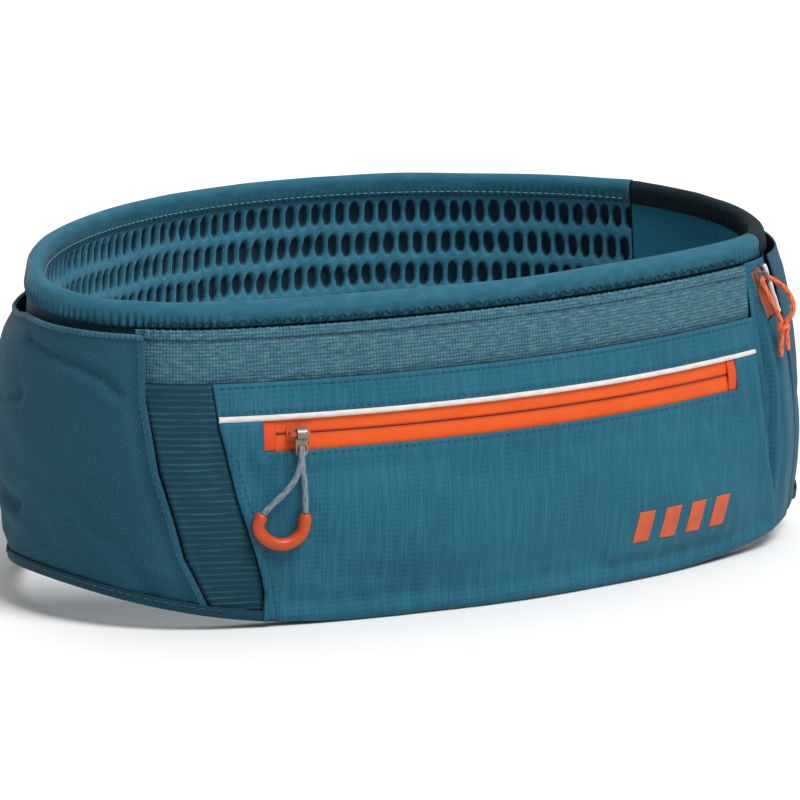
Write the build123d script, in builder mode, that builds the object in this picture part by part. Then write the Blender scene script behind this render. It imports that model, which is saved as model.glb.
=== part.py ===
"""Running waist pack: a padded belt that stands as an oval ring, with a zipped front pocket.

Frame: millimetres, +Z up, the origin on the floor under the middle of the ring. The front
pocket faces -Y, and the wearer's closure is on the +X hip. A place round the ring is given by
its heading, in degrees: 0 at the middle of the front, 90 at the +X hip, 180 at the back.
"""

from build123d import *
import os
from math import asin, atan2, cos, degrees, hypot, pi, radians, sin, sqrt, tan

os.makedirs("parts", exist_ok=True)

# ---------------------------------------------------------------- driving dimensions
# The rim's plan is an oval of four arcs that run into each other.
SIDE_X = 98.5
SIDE_R = 60.0
FRONT_R = 368.0
BACK_R = 166.0

FRONT_HEIGHT = 125.0
BACK_RISE = 7.0
RISE_FROM_Y = -28.0
RISE_TO_Y = 47.0

# The outer wall bellies out: its section is an arc of this radius.
BELLY_R = 244.0
BELLY_Z = 43.4
BELLY_OUT = 14.45

# The inner wall is a cone that widens downwards.
LINING_TOP = -2.0
LINING_FLARE = 9.0
LINER_T = 4.0
BACKING_T = 0.8
SKIN_T = 1.2
GAP = 0.1

# The bottom edge is flat under the front and the back, and rises towards the hips.
FLOOR_HALF = 70.0
HEM_END_X = 180.0
HEM_END_LIFT = 19.5
HEM_H = 7.0
HEM_WALL = 1.0
HEM_FLOOR = 1.5

RIM_H = 8.7
RIM_WALL = 1.1
RIM_INNER = 1.4
RIM_ROOF = 3.0

# Front pocket.
STRIP_TOP_Z = 95.5
PIPING_Z = 82.2
PIPING_R = 1.0
ZIP_LOW_Z = 69.2
ZIP_TOP_Z = 81.1
COIL_Z = 75.6
ZIP_HEADING = 16.6
MESH_TOP_Z = 115.5

# Closure on the +X hip: the flap bends about a line at the hip and its tongue
# reaches forward inside the front of the belt.
CLOSURE_HEADING = 38.5
CLOSURE_Z = 103.5
FLAP_HINGE_HEADING = 78.0
FLAP_HINGE_OFFSET = -8.2
FLAP_CLEAR = 0.4
TONGUE_END_HEADING = 11.5
BACK_SEAM_HEADING = 122.0

# Front slider and its pull.
SLIDER_HEADING = -14.5
CORD_D = 2.2
GRIP_D = 5.0

REACH = 400.0

# ---------------------------------------------------------------- derived plan geometry
FRONT_REACH = sqrt((FRONT_R - SIDE_R) ** 2 - SIDE_X**2)
BACK_REACH = sqrt((BACK_R - SIDE_R) ** 2 - SIDE_X**2)
FRONT_TURN = degrees(atan2(SIDE_X, FRONT_REACH))
BACK_TURN = degrees(atan2(SIDE_X, BACK_REACH))
SIDE_Y = -(BACK_R - BACK_REACH - FRONT_R + FRONT_REACH) / 2
FRONT_Y = SIDE_Y + FRONT_REACH
BACK_Y = SIDE_Y - BACK_REACH

# Each arc: centre x, centre y, radius, first heading, last heading. All but the back arc come
# twice, so that a piece may start before the front or run past a whole turn.
ARCS = [
    (-SIDE_X, SIDE_Y, SIDE_R, BACK_TURN - 180, -FRONT_TURN),
    (0, FRONT_Y, FRONT_R, -FRONT_TURN, FRONT_TURN),
    (SIDE_X, SIDE_Y, SIDE_R, FRONT_TURN, 180 - BACK_TURN),
    (0, BACK_Y, BACK_R, 180 - BACK_TURN, 180 + BACK_TURN),
    (-SIDE_X, SIDE_Y, SIDE_R, 180 + BACK_TURN, 360 - FRONT_TURN),
    (0, FRONT_Y, FRONT_R, 360 - FRONT_TURN, 360 + FRONT_TURN),
    (SIDE_X, SIDE_Y, SIDE_R, 360 + FRONT_TURN, 540 - BACK_TURN),
]
FULL_TURN = 360.0


def belly(z):
    """How far the outer wall stands outside the rim's oval at height z."""
    return BELLY_OUT - BELLY_R + sqrt(BELLY_R**2 - (z - BELLY_Z) ** 2)


def lining(z):
    """How far the outer face of the liner stands outside the rim's oval at height z."""
    return LINING_TOP + LINING_FLARE * (FRONT_HEIGHT - z) / FRONT_HEIGHT


def belly_side(depth, low, high):
    """Three points of the belly arc, a depth inside it."""
    heights = (low, (low + high) / 2, high)
    return [(belly(z) - depth, z) for z in heights]


def lining_side(depth, low, high):
    """Two points of the liner's cone, a depth inside its outer face."""
    return [(lining(z) - depth, z) for z in (low, high)]


def shifted(points, depth):
    """The same section edge, moved in by a depth."""
    return [(offset - depth, z) for offset, z in points]


def wall_point(heading, z, offset):
    """The point at a heading and height, an offset outside the rim's oval."""
    for centre_x, centre_y, radius, first, last in ARCS:
        if first <= heading <= last:
            turn = radians(heading)
            reach = radius + offset
            return Vector(centre_x + reach * sin(turn), centre_y - reach * cos(turn), z)
    return wall_point(heading + FULL_TURN, z, offset)


def section_edge(points, radius):
    """Draw one edge of a wall section: a line, an arc through three points or a polyline."""
    placed = [(radius + offset, z) for offset, z in points]
    if len(placed) == 2:
        return Line(*placed)
    if len(placed) == 3:
        return ThreePointArc(*placed)
    return Polyline(*placed)


def turn_wall(outer, inner, start, end, mode=Mode.ADD):
    """Turn a wall section round the oval, from one heading to another."""
    for centre_x, centre_y, radius, first, last in ARCS:
        begin = max(start, first)
        stop = min(end, last)
        if stop - begin > 0.01:
            turn = radians(begin)
            section_plane = Plane(
                origin=(centre_x, centre_y, 0),
                x_dir=(sin(turn), -cos(turn), 0),
                z_dir=(-cos(turn), -sin(turn), 0),
            )
            with BuildSketch(section_plane) as section:
                with BuildLine():
                    outer_edge = section_edge(outer, radius)
                    inner_edge = section_edge(inner, radius)
                    Line(outer_edge @ 0, inner_edge @ 0)
                    Line(outer_edge @ 1, inner_edge @ 1)
                make_face()
            centre_axis = Axis((centre_x, centre_y, 0), (0, 0, 1))
            revolve(section.sketch, axis=centre_axis, revolution_arc=stop - begin, mode=mode)


def keep_front_outline(*points, front_only=True):
    """Keep what lies inside a closed outline seen from the front (x, z)."""
    with BuildSketch(Plane.XZ.offset(-SIDE_Y)) as outline:
        with BuildLine():
            Polyline(*points, close=True)
        make_face()
    extrude(outline.sketch, amount=REACH, both=not front_only, mode=Mode.INTERSECT)


def cut_front_outline(*points):
    """Cut away what lies inside a closed outline seen from the front (x, z)."""
    with BuildSketch(Plane.XZ.offset(-SIDE_Y)) as outline:
        with BuildLine():
            Polyline(*points, close=True)
        make_face()
    extrude(outline.sketch, amount=REACH, mode=Mode.SUBTRACT)


def keep_above_hem(lift, height=REACH, mode=Mode.INTERSECT):
    """Keep what lies from a lift above the bottom edge's curve to a height over it."""
    with BuildSketch(Plane.XZ) as outline:
        with BuildLine():
            floor = Line((-FLOOR_HALF, lift), (FLOOR_HALF, lift))
            right = TangentArc(floor @ 1, (HEM_END_X, HEM_END_LIFT + lift), tangent=(1, 0))
            left = TangentArc(floor @ 0, (-HEM_END_X, HEM_END_LIFT + lift), tangent=(-1, 0))
            if height == REACH:
                Polyline(right @ 1, (HEM_END_X, REACH), (-HEM_END_X, REACH), left @ 1)
            else:
                top = lift + height
                upper = Line((-FLOOR_HALF, top), (FLOOR_HALF, top))
                upper_right = TangentArc(upper @ 1, (HEM_END_X, HEM_END_LIFT + top), tangent=(1, 0))
                upper_left = TangentArc(upper @ 0, (-HEM_END_X, HEM_END_LIFT + top), tangent=(-1, 0))
                Line(right @ 1, upper_right @ 1)
                Line(left @ 1, upper_left @ 1)
        make_face()
    extrude(outline.sketch, amount=REACH, both=True, mode=mode)


def keep_under_rim(drop, height=REACH, mode=Mode.INTERSECT):
    """Keep what lies from a drop under the top edge's line down over a height."""
    top = FRONT_HEIGHT - drop
    low = max(top - height, -REACH)
    rise = BACK_RISE if height != REACH else 0
    upper = [(-REACH, top), (SIDE_Y + RISE_FROM_Y, top), (SIDE_Y + RISE_TO_Y, top + BACK_RISE)]
    upper.append((REACH, top + BACK_RISE))
    lower = [(REACH, low + rise), (SIDE_Y + RISE_TO_Y, low + rise), (SIDE_Y + RISE_FROM_Y, low)]
    lower.append((-REACH, low))
    with BuildSketch(Plane.YZ) as outline:
        with BuildLine():
            Polyline(*upper, *lower, close=True)
        make_face()
    extrude(outline.sketch, amount=REACH, both=True, mode=mode)


# The flap bends about a vertical line on the inside of the hip.
FLAP_HINGE = wall_point(FLAP_HINGE_HEADING, 0, FLAP_HINGE_OFFSET)
CLOSURE_EDGE = wall_point(CLOSURE_HEADING, 0, belly(CLOSURE_Z))
FLAP_REACH = hypot(CLOSURE_EDGE.X - FLAP_HINGE.X, CLOSURE_EDGE.Y - FLAP_HINGE.Y)
# Half the gap left at the flap's bending line, as a turn about the side arc's centre.
HINGE_HALF_GAP = degrees(asin(FLAP_CLEAR / 2 / SIDE_R))
FLAP_END = FLAP_HINGE_HEADING - HINGE_HALF_GAP
HIP_START = FLAP_HINGE_HEADING + HINGE_HALF_GAP
FRONT_END = CLOSURE_HEADING + 10.0


def cut_for_flap():
    """Cut the belt's front end back to the circle that the flap sweeps."""
    with BuildSketch(Plane.XY.offset(-REACH / 2)) as sweep_circle:
        with Locations((FLAP_HINGE.X, FLAP_HINGE.Y)):
            Circle(FLAP_REACH + FLAP_CLEAR)
    extrude(sweep_circle.sketch, amount=REACH, mode=Mode.SUBTRACT)


def keep_flap():
    """Keep the part of the flap's wall that its own bend clears."""
    with BuildSketch(Plane.XY.offset(-REACH / 2)) as sweep_circle:
        with Locations((FLAP_HINGE.X, FLAP_HINGE.Y)):
            Circle(FLAP_REACH)
    extrude(sweep_circle.sketch, amount=REACH, mode=Mode.INTERSECT)


def write(builder, name):
    """Label one finished piece and write its file."""
    builder.part.label = name
    export_step(builder.part, f"parts/{name}.step")


# ---------------------------------------------------------------- liner
# Three-dimensional spacer mesh against the body, from the hip's seam round the back,
# the left side and the front.
WALL_LOW = -2.0
WALL_HIGH = FRONT_HEIGHT + BACK_RISE + 2.0
LINER_START = BACK_SEAM_HEADING + 0.1
LINER_END = FULL_TURN + TONGUE_END_HEADING - 1.5
INNER_FACE = lining_side(LINER_T, WALL_LOW, WALL_HIGH)
LINER_OUTER = lining_side(0, WALL_LOW, WALL_HIGH)

with BuildPart() as spacer_mesh_liner:
    turn_wall(LINER_OUTER, INNER_FACE, LINER_START, LINER_END)
    keep_above_hem(HEM_FLOOR + GAP)
    keep_under_rim(RIM_ROOF + GAP)
write(spacer_mesh_liner, "spacer_mesh_liner")

with BuildPart() as hip_lining:
    turn_wall(LINER_OUTER, INNER_FACE, HIP_START, BACK_SEAM_HEADING - 0.1)
    keep_above_hem(HEM_FLOOR + GAP)
    keep_under_rim(RIM_ROOF + GAP)
write(hip_lining, "hip_lining")

# One sheet of backing cloth closes the outer face of the liner, all the way round.
BACKING_OUTER = shifted(LINER_OUTER, -GAP - BACKING_T)
BACKING_INNER = shifted(LINER_OUTER, -GAP)

with BuildPart() as liner_backing:
    turn_wall(BACKING_OUTER, BACKING_INNER, HIP_START, FULL_TURN + FRONT_END)
    keep_above_hem(HEM_FLOOR + GAP)
    keep_under_rim(RIM_ROOF + GAP)
    cut_for_flap()
write(liner_backing, "liner_backing")

# Where the flap's tongue lies inside the front, the liner is thin and carries the loop patch.
LOOP_T = 1.1
HOOK_T = 1.3
THIN_LINING_T = 1.2
PATCH_GAP = 0.3
LOOP_DEPTH = THIN_LINING_T + GAP
HOOK_DEPTH = LOOP_DEPTH + LOOP_T + PATCH_GAP
TONGUE_DEPTH = HOOK_DEPTH + HOOK_T + GAP
TONGUE_T = 1.5
PATCH_LOW_Z = 26.0
PATCH_HIGH_Z = 100.0
PATCH_END_HEADING = 24.0

with BuildPart() as closure_lining:
    turn_wall(LINER_OUTER, shifted(LINER_OUTER, THIN_LINING_T), LINER_END - FULL_TURN + 0.1, FRONT_END)
    keep_above_hem(HEM_FLOOR + GAP)
    keep_under_rim(RIM_ROOF + GAP)
    cut_for_flap()
write(closure_lining, "closure_lining")

PATCH_OUTER = lining_side(LOOP_DEPTH, PATCH_LOW_Z, PATCH_HIGH_Z)

with BuildPart() as loop_patch:
    turn_wall(PATCH_OUTER, shifted(PATCH_OUTER, LOOP_T), TONGUE_END_HEADING - 0.5, PATCH_END_HEADING)
write(loop_patch, "loop_patch")

# ---------------------------------------------------------------- front wall
# The mesh panel is the outer wall of the overflow pocket: its upper part shows as a band
# under the rim, and its lower part is the back wall of the zipped pocket.
MESH_OUTER = [(6.4, MESH_TOP_Z), (7.0, 98.0), (5.8, 84.0), (6.0, 66.0), (7.4, 40.0), (8.6, 20.0)]
MESH_OUTER.append((9.1, WALL_LOW))
MESH_T = 1.0
LEFT_SEAM = [(-147.0, 118.0), (-148.3, 90.0), (-145.5, 62.0), (-137.6, 29.0), (-124.0, 0.0)]
POCKET_LEFT = [(-125.0, STRIP_TOP_Z), (-124.3, 79.0), (-119.0, 52.0), (-109.7, 20.0), (-105.5, -1.0)]
POCKET_RIGHT = [(136.5, -1.0), (131.0, 20.0), (124.8, 42.0), (121.0, 82.0), (121.0, STRIP_TOP_Z)]
SEAM_GAP = 0.4


def moved(points, dx):
    """The same outline points, moved along x."""
    return [(x + dx, z) for x, z in points]


MESH_RIGHT_X = 120.6

with BuildPart() as overflow_mesh_panel:
    turn_wall(MESH_OUTER, shifted(MESH_OUTER, MESH_T), -60.0, FRONT_END)
    keep_front_outline(*moved(LEFT_SEAM, SEAM_GAP), (MESH_RIGHT_X, 0.0), (MESH_RIGHT_X, 118.0))
    keep_above_hem(HEM_FLOOR + GAP)
    cut_for_flap()
write(overflow_mesh_panel, "overflow_mesh_panel")

# Elastic binding along the mesh panel's top edge.
MOUTH_ELASTIC_H = 3.0
MOUTH_ELASTIC_T = 0.7
MOUTH_OUTER = [(7.3, MESH_TOP_Z - MOUTH_ELASTIC_H), (7.3, MESH_TOP_Z)]

with BuildPart() as overflow_mouth_elastic:
    turn_wall(MOUTH_OUTER, shifted(MOUTH_OUTER, MOUTH_ELASTIC_T), -46.0, 19.0)
write(overflow_mouth_elastic, "overflow_mouth_elastic")

# The zipped pocket's face, with a window for the zip between its side strips.
FACE_LOW_OUTER = belly_side(0, WALL_LOW, PIPING_Z - PIPING_R - GAP)
ZIP_HALF_X = (FRONT_R + belly(COIL_Z)) * sin(radians(ZIP_HEADING))
WINDOW = [(-ZIP_HALF_X, ZIP_LOW_Z), (ZIP_HALF_X, ZIP_LOW_Z), (ZIP_HALF_X, 90.0), (-ZIP_HALF_X, 90.0)]

with BuildPart() as front_pocket_face:
    turn_wall(FACE_LOW_OUTER, shifted(FACE_LOW_OUTER, SKIN_T), -60.0, FRONT_END)
    keep_front_outline(*POCKET_LEFT, *POCKET_RIGHT)
    cut_front_outline(*WINDOW)
    keep_above_hem(HEM_FLOOR + GAP)
write(front_pocket_face, "front_pocket_face")

STRIP_OUTER = belly_side(0, PIPING_Z + PIPING_R + GAP, STRIP_TOP_Z)

with BuildPart() as front_pocket_top_strip:
    turn_wall(STRIP_OUTER, shifted(STRIP_OUTER, SKIN_T), -60.0, FRONT_END)
    keep_front_outline(*POCKET_LEFT, *POCKET_RIGHT)
write(front_pocket_top_strip, "front_pocket_top_strip")

PIPING_OUTER = belly_side(-0.3, PIPING_Z - PIPING_R, PIPING_Z + PIPING_R)

with BuildPart() as reflective_piping:
    turn_wall(PIPING_OUTER, shifted(PIPING_OUTER, 1.5), -60.0, FRONT_END)
    keep_front_outline(*POCKET_LEFT, *POCKET_RIGHT)
write(reflective_piping, "reflective_piping")

# ---------------------------------------------------------------- front zip
# A coil zip sewn coil side in: the flat tapes face out and the coils run behind them.
TAPE_DEPTH = SKIN_T + GAP
TAPE_T = 1.0
TAPE_SLOT = 1.0
TAPE_LAP = 2.5
COIL_GAP = 0.05
COIL_DEPTH = TAPE_DEPTH + TAPE_T + COIL_GAP
COIL_T = 1.5
COIL_W = 1.3
TAPE_END_HEADING = ZIP_HEADING + 0.9

TAPES = {
    "zip_tape_lower": (ZIP_LOW_Z - TAPE_LAP, COIL_Z - TAPE_SLOT / 2),
    "zip_tape_upper": (COIL_Z + TAPE_SLOT / 2, ZIP_TOP_Z + TAPE_LAP),
}
for tape_name, (tape_low, tape_high) in TAPES.items():
    tape_outer = belly_side(TAPE_DEPTH, tape_low, tape_high)
    with BuildPart() as zip_tape:
        turn_wall(tape_outer, shifted(tape_outer, TAPE_T), -TAPE_END_HEADING, TAPE_END_HEADING)
    write(zip_tape, tape_name)

# The wall leans here, so the coils lie a little lower than the tapes' slot.
COIL_MID_Z = COIL_Z - (TAPE_T + COIL_T / 2) * (COIL_Z - BELLY_Z) / BELLY_R
COILS = {
    "zip_coil_lower": (COIL_MID_Z - TAPE_SLOT / 2 - COIL_W, COIL_MID_Z - TAPE_SLOT / 2),
    "zip_coil_upper": (COIL_MID_Z + TAPE_SLOT / 2, COIL_MID_Z + TAPE_SLOT / 2 + COIL_W),
}
COIL_END_HEADING = ZIP_HEADING - 0.4
for coil_name, (coil_low, coil_high) in COILS.items():
    coil_outer = belly_side(COIL_DEPTH, coil_low, coil_high)
    with BuildPart() as zip_coil:
        turn_wall(coil_outer, shifted(coil_outer, COIL_T), -COIL_END_HEADING, COIL_END_HEADING)
    write(zip_coil, coil_name)


def wall_plane(heading, z, depth):
    """A plane on the belly: x along the wall to the wearer's left, y up it, z out of it."""
    lean = asin((z - BELLY_Z) / BELLY_R)
    turn = radians(heading)
    outward = Vector(sin(turn) * cos(lean), -cos(turn) * cos(lean), sin(lean))
    along = Vector(cos(turn), sin(turn), 0)
    foot = wall_point(heading, z, belly(z))
    return Plane(origin=foot - outward * depth, x_dir=along, z_dir=outward)


# Cloth tabs cover the two ends of the zip.
END_TAB_W = 4.4
END_TAB_T = 0.9
END_TAB_HEADING = ZIP_HEADING - 0.35
with BuildPart() as zip_end_tabs:
    for tab_heading in (-END_TAB_HEADING, END_TAB_HEADING):
        tab_height = ZIP_TOP_Z - ZIP_LOW_Z - 2 * SEAM_GAP
        tab_plane = wall_plane(tab_heading, (ZIP_TOP_Z + ZIP_LOW_Z) / 2, TAPE_DEPTH - GAP)
        with BuildSketch(tab_plane) as tab_outline:
            RectangleRounded(END_TAB_W, tab_height, 0.8)
        extrude(tab_outline.sketch, amount=END_TAB_T)
write(zip_end_tabs, "zip_end_tabs")

# Slider: an outer plate and an inner plate joined by a thin post that parts the tapes.
SLIDER_L = 9.4
SLIDER_W = 7.4
SLIDER_TAIL_W = 5.4
PLATE_T = 1.2
PLATE_LIFT = 0.25
INNER_PLATE_LOW = -(TAPE_T + COIL_GAP + COIL_T + PLATE_LIFT + 0.05 + PLATE_T)
POST_W = 0.5
POST_L = 2.4
CROWN_Z = 5.6
CROWN_BAR_R = 0.75
CROWN_HALF = 3.0
CROWN_W = 1.7

# The wall leans, so the slider's middle is raised to leave its post in the tapes' slot.
SLIDER_Z = COIL_Z + (TAPE_DEPTH + TAPE_T / 2) * (COIL_Z - BELLY_Z) / BELLY_R
slider_plane = wall_plane(SLIDER_HEADING, SLIDER_Z, TAPE_DEPTH)


def plate_outline(length, wide, narrow):
    """A slider plate: round-shouldered, wider at the end that opens the zip."""
    with BuildLine() as plate_edge:
        Polyline(
            (-length / 2, -narrow / 2),
            (-length / 10, -narrow / 2),
            (length / 10, -wide / 2),
            (length / 2, -wide / 2),
            (length / 2, wide / 2),
            (length / 10, wide / 2),
            (-length / 10, narrow / 2),
            (-length / 2, narrow / 2),
            close=True,
        )
    make_face(plate_edge.edges())


with BuildPart() as slider_body:
    with BuildSketch(slider_plane.offset(PLATE_LIFT)) as outer_plate:
        plate_outline(SLIDER_L, SLIDER_W, SLIDER_TAIL_W)
        fillet(outer_plate.vertices(), 0.9)
    extrude(amount=PLATE_T)
    with BuildSketch(slider_plane.offset(INNER_PLATE_LOW)) as inner_plate:
        plate_outline(SLIDER_L, SLIDER_W - 0.6, SLIDER_TAIL_W - 0.6)
        fillet(inner_plate.vertices(), 0.9)
    extrude(amount=PLATE_T)
    with BuildSketch(slider_plane.offset(INNER_PLATE_LOW + PLATE_T)):
        with Locations((SLIDER_L / 2 - POST_L / 2 - 0.4, 0)):
            SlotOverall(POST_L, POST_W)
    extrude(amount=PLATE_LIFT - INNER_PLATE_LOW - PLATE_T)
    # The crown stands on the outer plate as a bridge along the zip.
    with BuildSketch(Plane(slider_plane.origin, slider_plane.x_dir, -slider_plane.y_dir)) as crown:
        with BuildLine():
            crown_foot = PLATE_LIFT + PLATE_T
            Polyline(
                (-CROWN_HALF - 0.9, crown_foot - 0.3),
                (-CROWN_HALF - 0.9, CROWN_Z - 0.8),
                (-CROWN_HALF + 0.7, CROWN_Z + CROWN_BAR_R),
                (CROWN_HALF - 0.7, CROWN_Z + CROWN_BAR_R),
                (CROWN_HALF + 0.9, CROWN_Z - 0.8),
                (CROWN_HALF + 0.9, crown_foot - 0.3),
                (CROWN_HALF - 0.4, crown_foot - 0.3),
                (CROWN_HALF - 0.4, CROWN_Z - CROWN_BAR_R),
                (-CROWN_HALF + 0.4, CROWN_Z - CROWN_BAR_R),
                (-CROWN_HALF + 0.4, crown_foot - 0.3),
                close=True,
            )
        make_face()
    extrude(crown.sketch, amount=CROWN_W / 2, both=True)
write(slider_body, "slider_body")

# Pull tab: a small plate whose collar goes round the crown's bar and whose eye holds the
# cord. It leans a little back towards the wall.
PULL_LEAN = 6.0
TAB_W = 4.8
TAB_T = 1.2
TAB_EYE_Y = -5.6
CORD_EYE_W = 3.4
CORD_EYE_H = 3.2
TAB_RIM = 1.2
COLLAR_BORE_R = 1.45
COLLAR_R = 2.3
COLLAR_HALF = 1.9

crown_bar = slider_plane.origin + slider_plane.z_dir * CROWN_Z
pull_out = slider_plane.z_dir.rotate(Axis((0, 0, 0), slider_plane.x_dir), PULL_LEAN)
pull_plane = Plane(origin=crown_bar, x_dir=slider_plane.x_dir, z_dir=pull_out)
TAB_BOTTOM = TAB_EYE_Y - CORD_EYE_H / 2 - TAB_RIM

with BuildPart() as pull_tab:
    with BuildSketch(pull_plane.offset(-TAB_T / 2)) as tab_plate:
        with BuildLine():
            Polyline(
                (-TAB_W / 2, TAB_BOTTOM),
                (TAB_W / 2, TAB_BOTTOM),
                (TAB_W / 2, -COLLAR_BORE_R - 0.2),
                (-TAB_W / 2, -COLLAR_BORE_R - 0.2),
                close=True,
            )
        make_face()
        fillet(tab_plate.vertices().group_by(Axis.Y)[0], 1.2)
        with Locations((0, TAB_EYE_Y)):
            RectangleRounded(CORD_EYE_W, CORD_EYE_H, 1.2, mode=Mode.SUBTRACT)
    extrude(amount=TAB_T)
    with BuildSketch(Plane(crown_bar, pull_plane.y_dir, pull_plane.x_dir)):
        Circle(COLLAR_R)
        Circle(COLLAR_BORE_R, mode=Mode.SUBTRACT)
    extrude(amount=COLLAR_HALF, both=True)
write(pull_tab, "pull_tab")


def largest_radii(points):
    """The largest arc at each corner of a cord's route that its two runs leave room for."""
    radii = []
    for before, corner, after in zip(points, points[1:], points[2:]):
        arriving = corner - before
        leaving = after - corner
        half_turn = radians(arriving.get_angle(leaving)) / 2
        radii.append(0.45 * min(arriving.length, leaving.length) / tan(half_turn))
    return radii


def sweep_cord(points, diameter, name):
    """Sweep a round cord along straight runs joined by tangent arcs."""
    radii = largest_radii(points)
    with BuildLine() as route:
        path = FilletPolyline(*points, radius=radii)
    with BuildSketch(Plane(origin=path @ 0, z_dir=path % 0)) as round_section:
        Circle(diameter / 2)
    sweep(round_section.sketch, path=route.line)
    expected = pi * diameter**2 / 4 * path.length
    print(name, "length", round(path.length, 1), "radii", [round(r, 1) for r in radii])
    print(name, "section x length", round(expected, 1))


def on_plane(plane, points):
    """Points given on a plane (x, y, out of it), in the belt's frame."""
    return [plane.from_local_coords(Vector(*point)) for point in points]


# The cord goes up from one end of the grip, through the tab's eye and down to the other.
PULL_CORD_ROUTE = [
    (-15.6, -30.4, 0.0),
    (-12.0, -26.6, 0.5),
    (-5.2, -20.6, 1.6),
    (-1.5, -13.8, 2.5),
    (-0.4, -5.4, 3.0),
    (0.4, -5.4, -2.2),
    (0.9, -13.2, -1.7),
    (1.6, -23.4, -0.6),
    (1.3, -31.2, 0.0),
]
with BuildPart() as pull_cord:
    sweep_cord(on_plane(pull_plane, PULL_CORD_ROUTE), CORD_D, "pull_cord")
write(pull_cord, "pull_cord")
print("pull_cord volume", round(pull_cord.part.volume, 1))

# Rubber grip moulded in a U over the two ends of the cord.
GRIP_ROUTE = [
    (-15.6, -30.4, 0.0),
    (-17.6, -33.0, 0.0),
    (-17.4, -37.0, 0.0),
    (-13.6, -41.0, 0.0),
    (-7.8, -42.9, 0.0),
    (-2.2, -41.0, 0.0),
    (1.0, -36.6, 0.0),
    (1.3, -31.2, 0.0),
]
with BuildPart() as pull_grip:
    sweep_cord(on_plane(pull_plane, GRIP_ROUTE), GRIP_D, "pull_grip")
write(pull_grip, "pull_grip")

# ---------------------------------------------------------------- side of the front wall
GUSSET_DEPTH = 0.2
GUSSET_T = 1.0
GUSSET_OUTER = belly_side(GUSSET_DEPTH, WALL_LOW, STRIP_TOP_Z - 0.4)
gusset_left = moved(LEFT_SEAM, SEAM_GAP)
gusset_right = moved(POCKET_LEFT, -SEAM_GAP)

with BuildPart() as left_ribbed_gusset:
    turn_wall(GUSSET_OUTER, shifted(GUSSET_OUTER, GUSSET_T), -60.0, 0.0)
    keep_front_outline(*gusset_left, *reversed(gusset_right))
    keep_above_hem(HEM_FLOOR + GAP)
write(left_ribbed_gusset, "left_ribbed_gusset")

# The front's end panel carries the slanting hip zip and ends at the closure.
HIP_ZIP_HEADING = 29.4
HIP_ZIP_Z = 103.2
HIP_ZIP_LEAN = 11.5
HIP_ZIP_L = 21.0
HIP_ZIP_W = 8.0
HIP_TAPE_DEPTH = 0.8
HIP_TAPE_T = 0.9
HIP_SLOT = 0.9

hip_surface = wall_plane(HIP_ZIP_HEADING, HIP_ZIP_Z, HIP_TAPE_DEPTH)
hip_across = hip_surface.x_dir.rotate(Axis((0, 0, 0), hip_surface.z_dir), HIP_ZIP_LEAN)
hip_plane = Plane(origin=hip_surface.origin, x_dir=hip_across, z_dir=hip_surface.z_dir)

END_PANEL_OUTER = belly_side(GUSSET_DEPTH, WALL_LOW, MESH_TOP_Z + 0.6)
END_PANEL_OUTLINE = [*moved(POCKET_RIGHT[:4], SEAM_GAP), (121.4, 118.0), (180.0, 118.0), (180.0, -1.0)]

with BuildPart() as front_end_panel:
    turn_wall(END_PANEL_OUTER, shifted(END_PANEL_OUTER, GUSSET_T), 0.0, FRONT_END)
    keep_front_outline(*END_PANEL_OUTLINE)
    keep_above_hem(HEM_FLOOR + GAP)
    cut_for_flap()
    with BuildSketch(hip_plane) as hip_window:
        RectangleRounded(HIP_ZIP_W + 0.6, HIP_ZIP_L + 0.6, 1.0)
    extrude(hip_window.sketch, amount=4.0, both=True, mode=Mode.SUBTRACT)
write(front_end_panel, "front_end_panel")

# ---------------------------------------------------------------- hip zip
with BuildPart() as hip_zip_tapes:
    with BuildSketch(hip_plane.offset(-HIP_TAPE_T)):
        for side in (-1, 1):
            with Locations((side * (HIP_ZIP_W + HIP_SLOT) / 4, 0)):
                Rectangle((HIP_ZIP_W - HIP_SLOT) / 2, HIP_ZIP_L)
    extrude(amount=HIP_TAPE_T)
write(hip_zip_tapes, "hip_zip_tapes")

HIP_COIL_W = 1.1
HIP_COIL_T = 1.2
with BuildPart() as hip_zip_coils:
    with BuildSketch(hip_plane.offset(-HIP_TAPE_T - COIL_GAP - HIP_COIL_T)):
        for side in (-1, 1):
            with Locations((side * (HIP_SLOT + HIP_COIL_W) / 2, 0)):
                Rectangle(HIP_COIL_W, HIP_ZIP_L - 1.0)
    extrude(amount=HIP_COIL_T)
write(hip_zip_coils, "hip_zip_coils")

HIP_PIPING_W = 1.6
HIP_PIPING_LIFT = 0.35
HIP_PIPING_T = 1.0
with BuildPart() as hip_piping:
    with BuildSketch(hip_plane.offset(HIP_TAPE_DEPTH + HIP_PIPING_LIFT)):
        with Locations((HIP_ZIP_W / 2 + 0.5 + HIP_PIPING_W / 2, 0)):
            SlotOverall(HIP_ZIP_L, HIP_PIPING_W, rotation=90)
    extrude(amount=HIP_PIPING_T)
write(hip_piping, "hip_piping")

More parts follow.
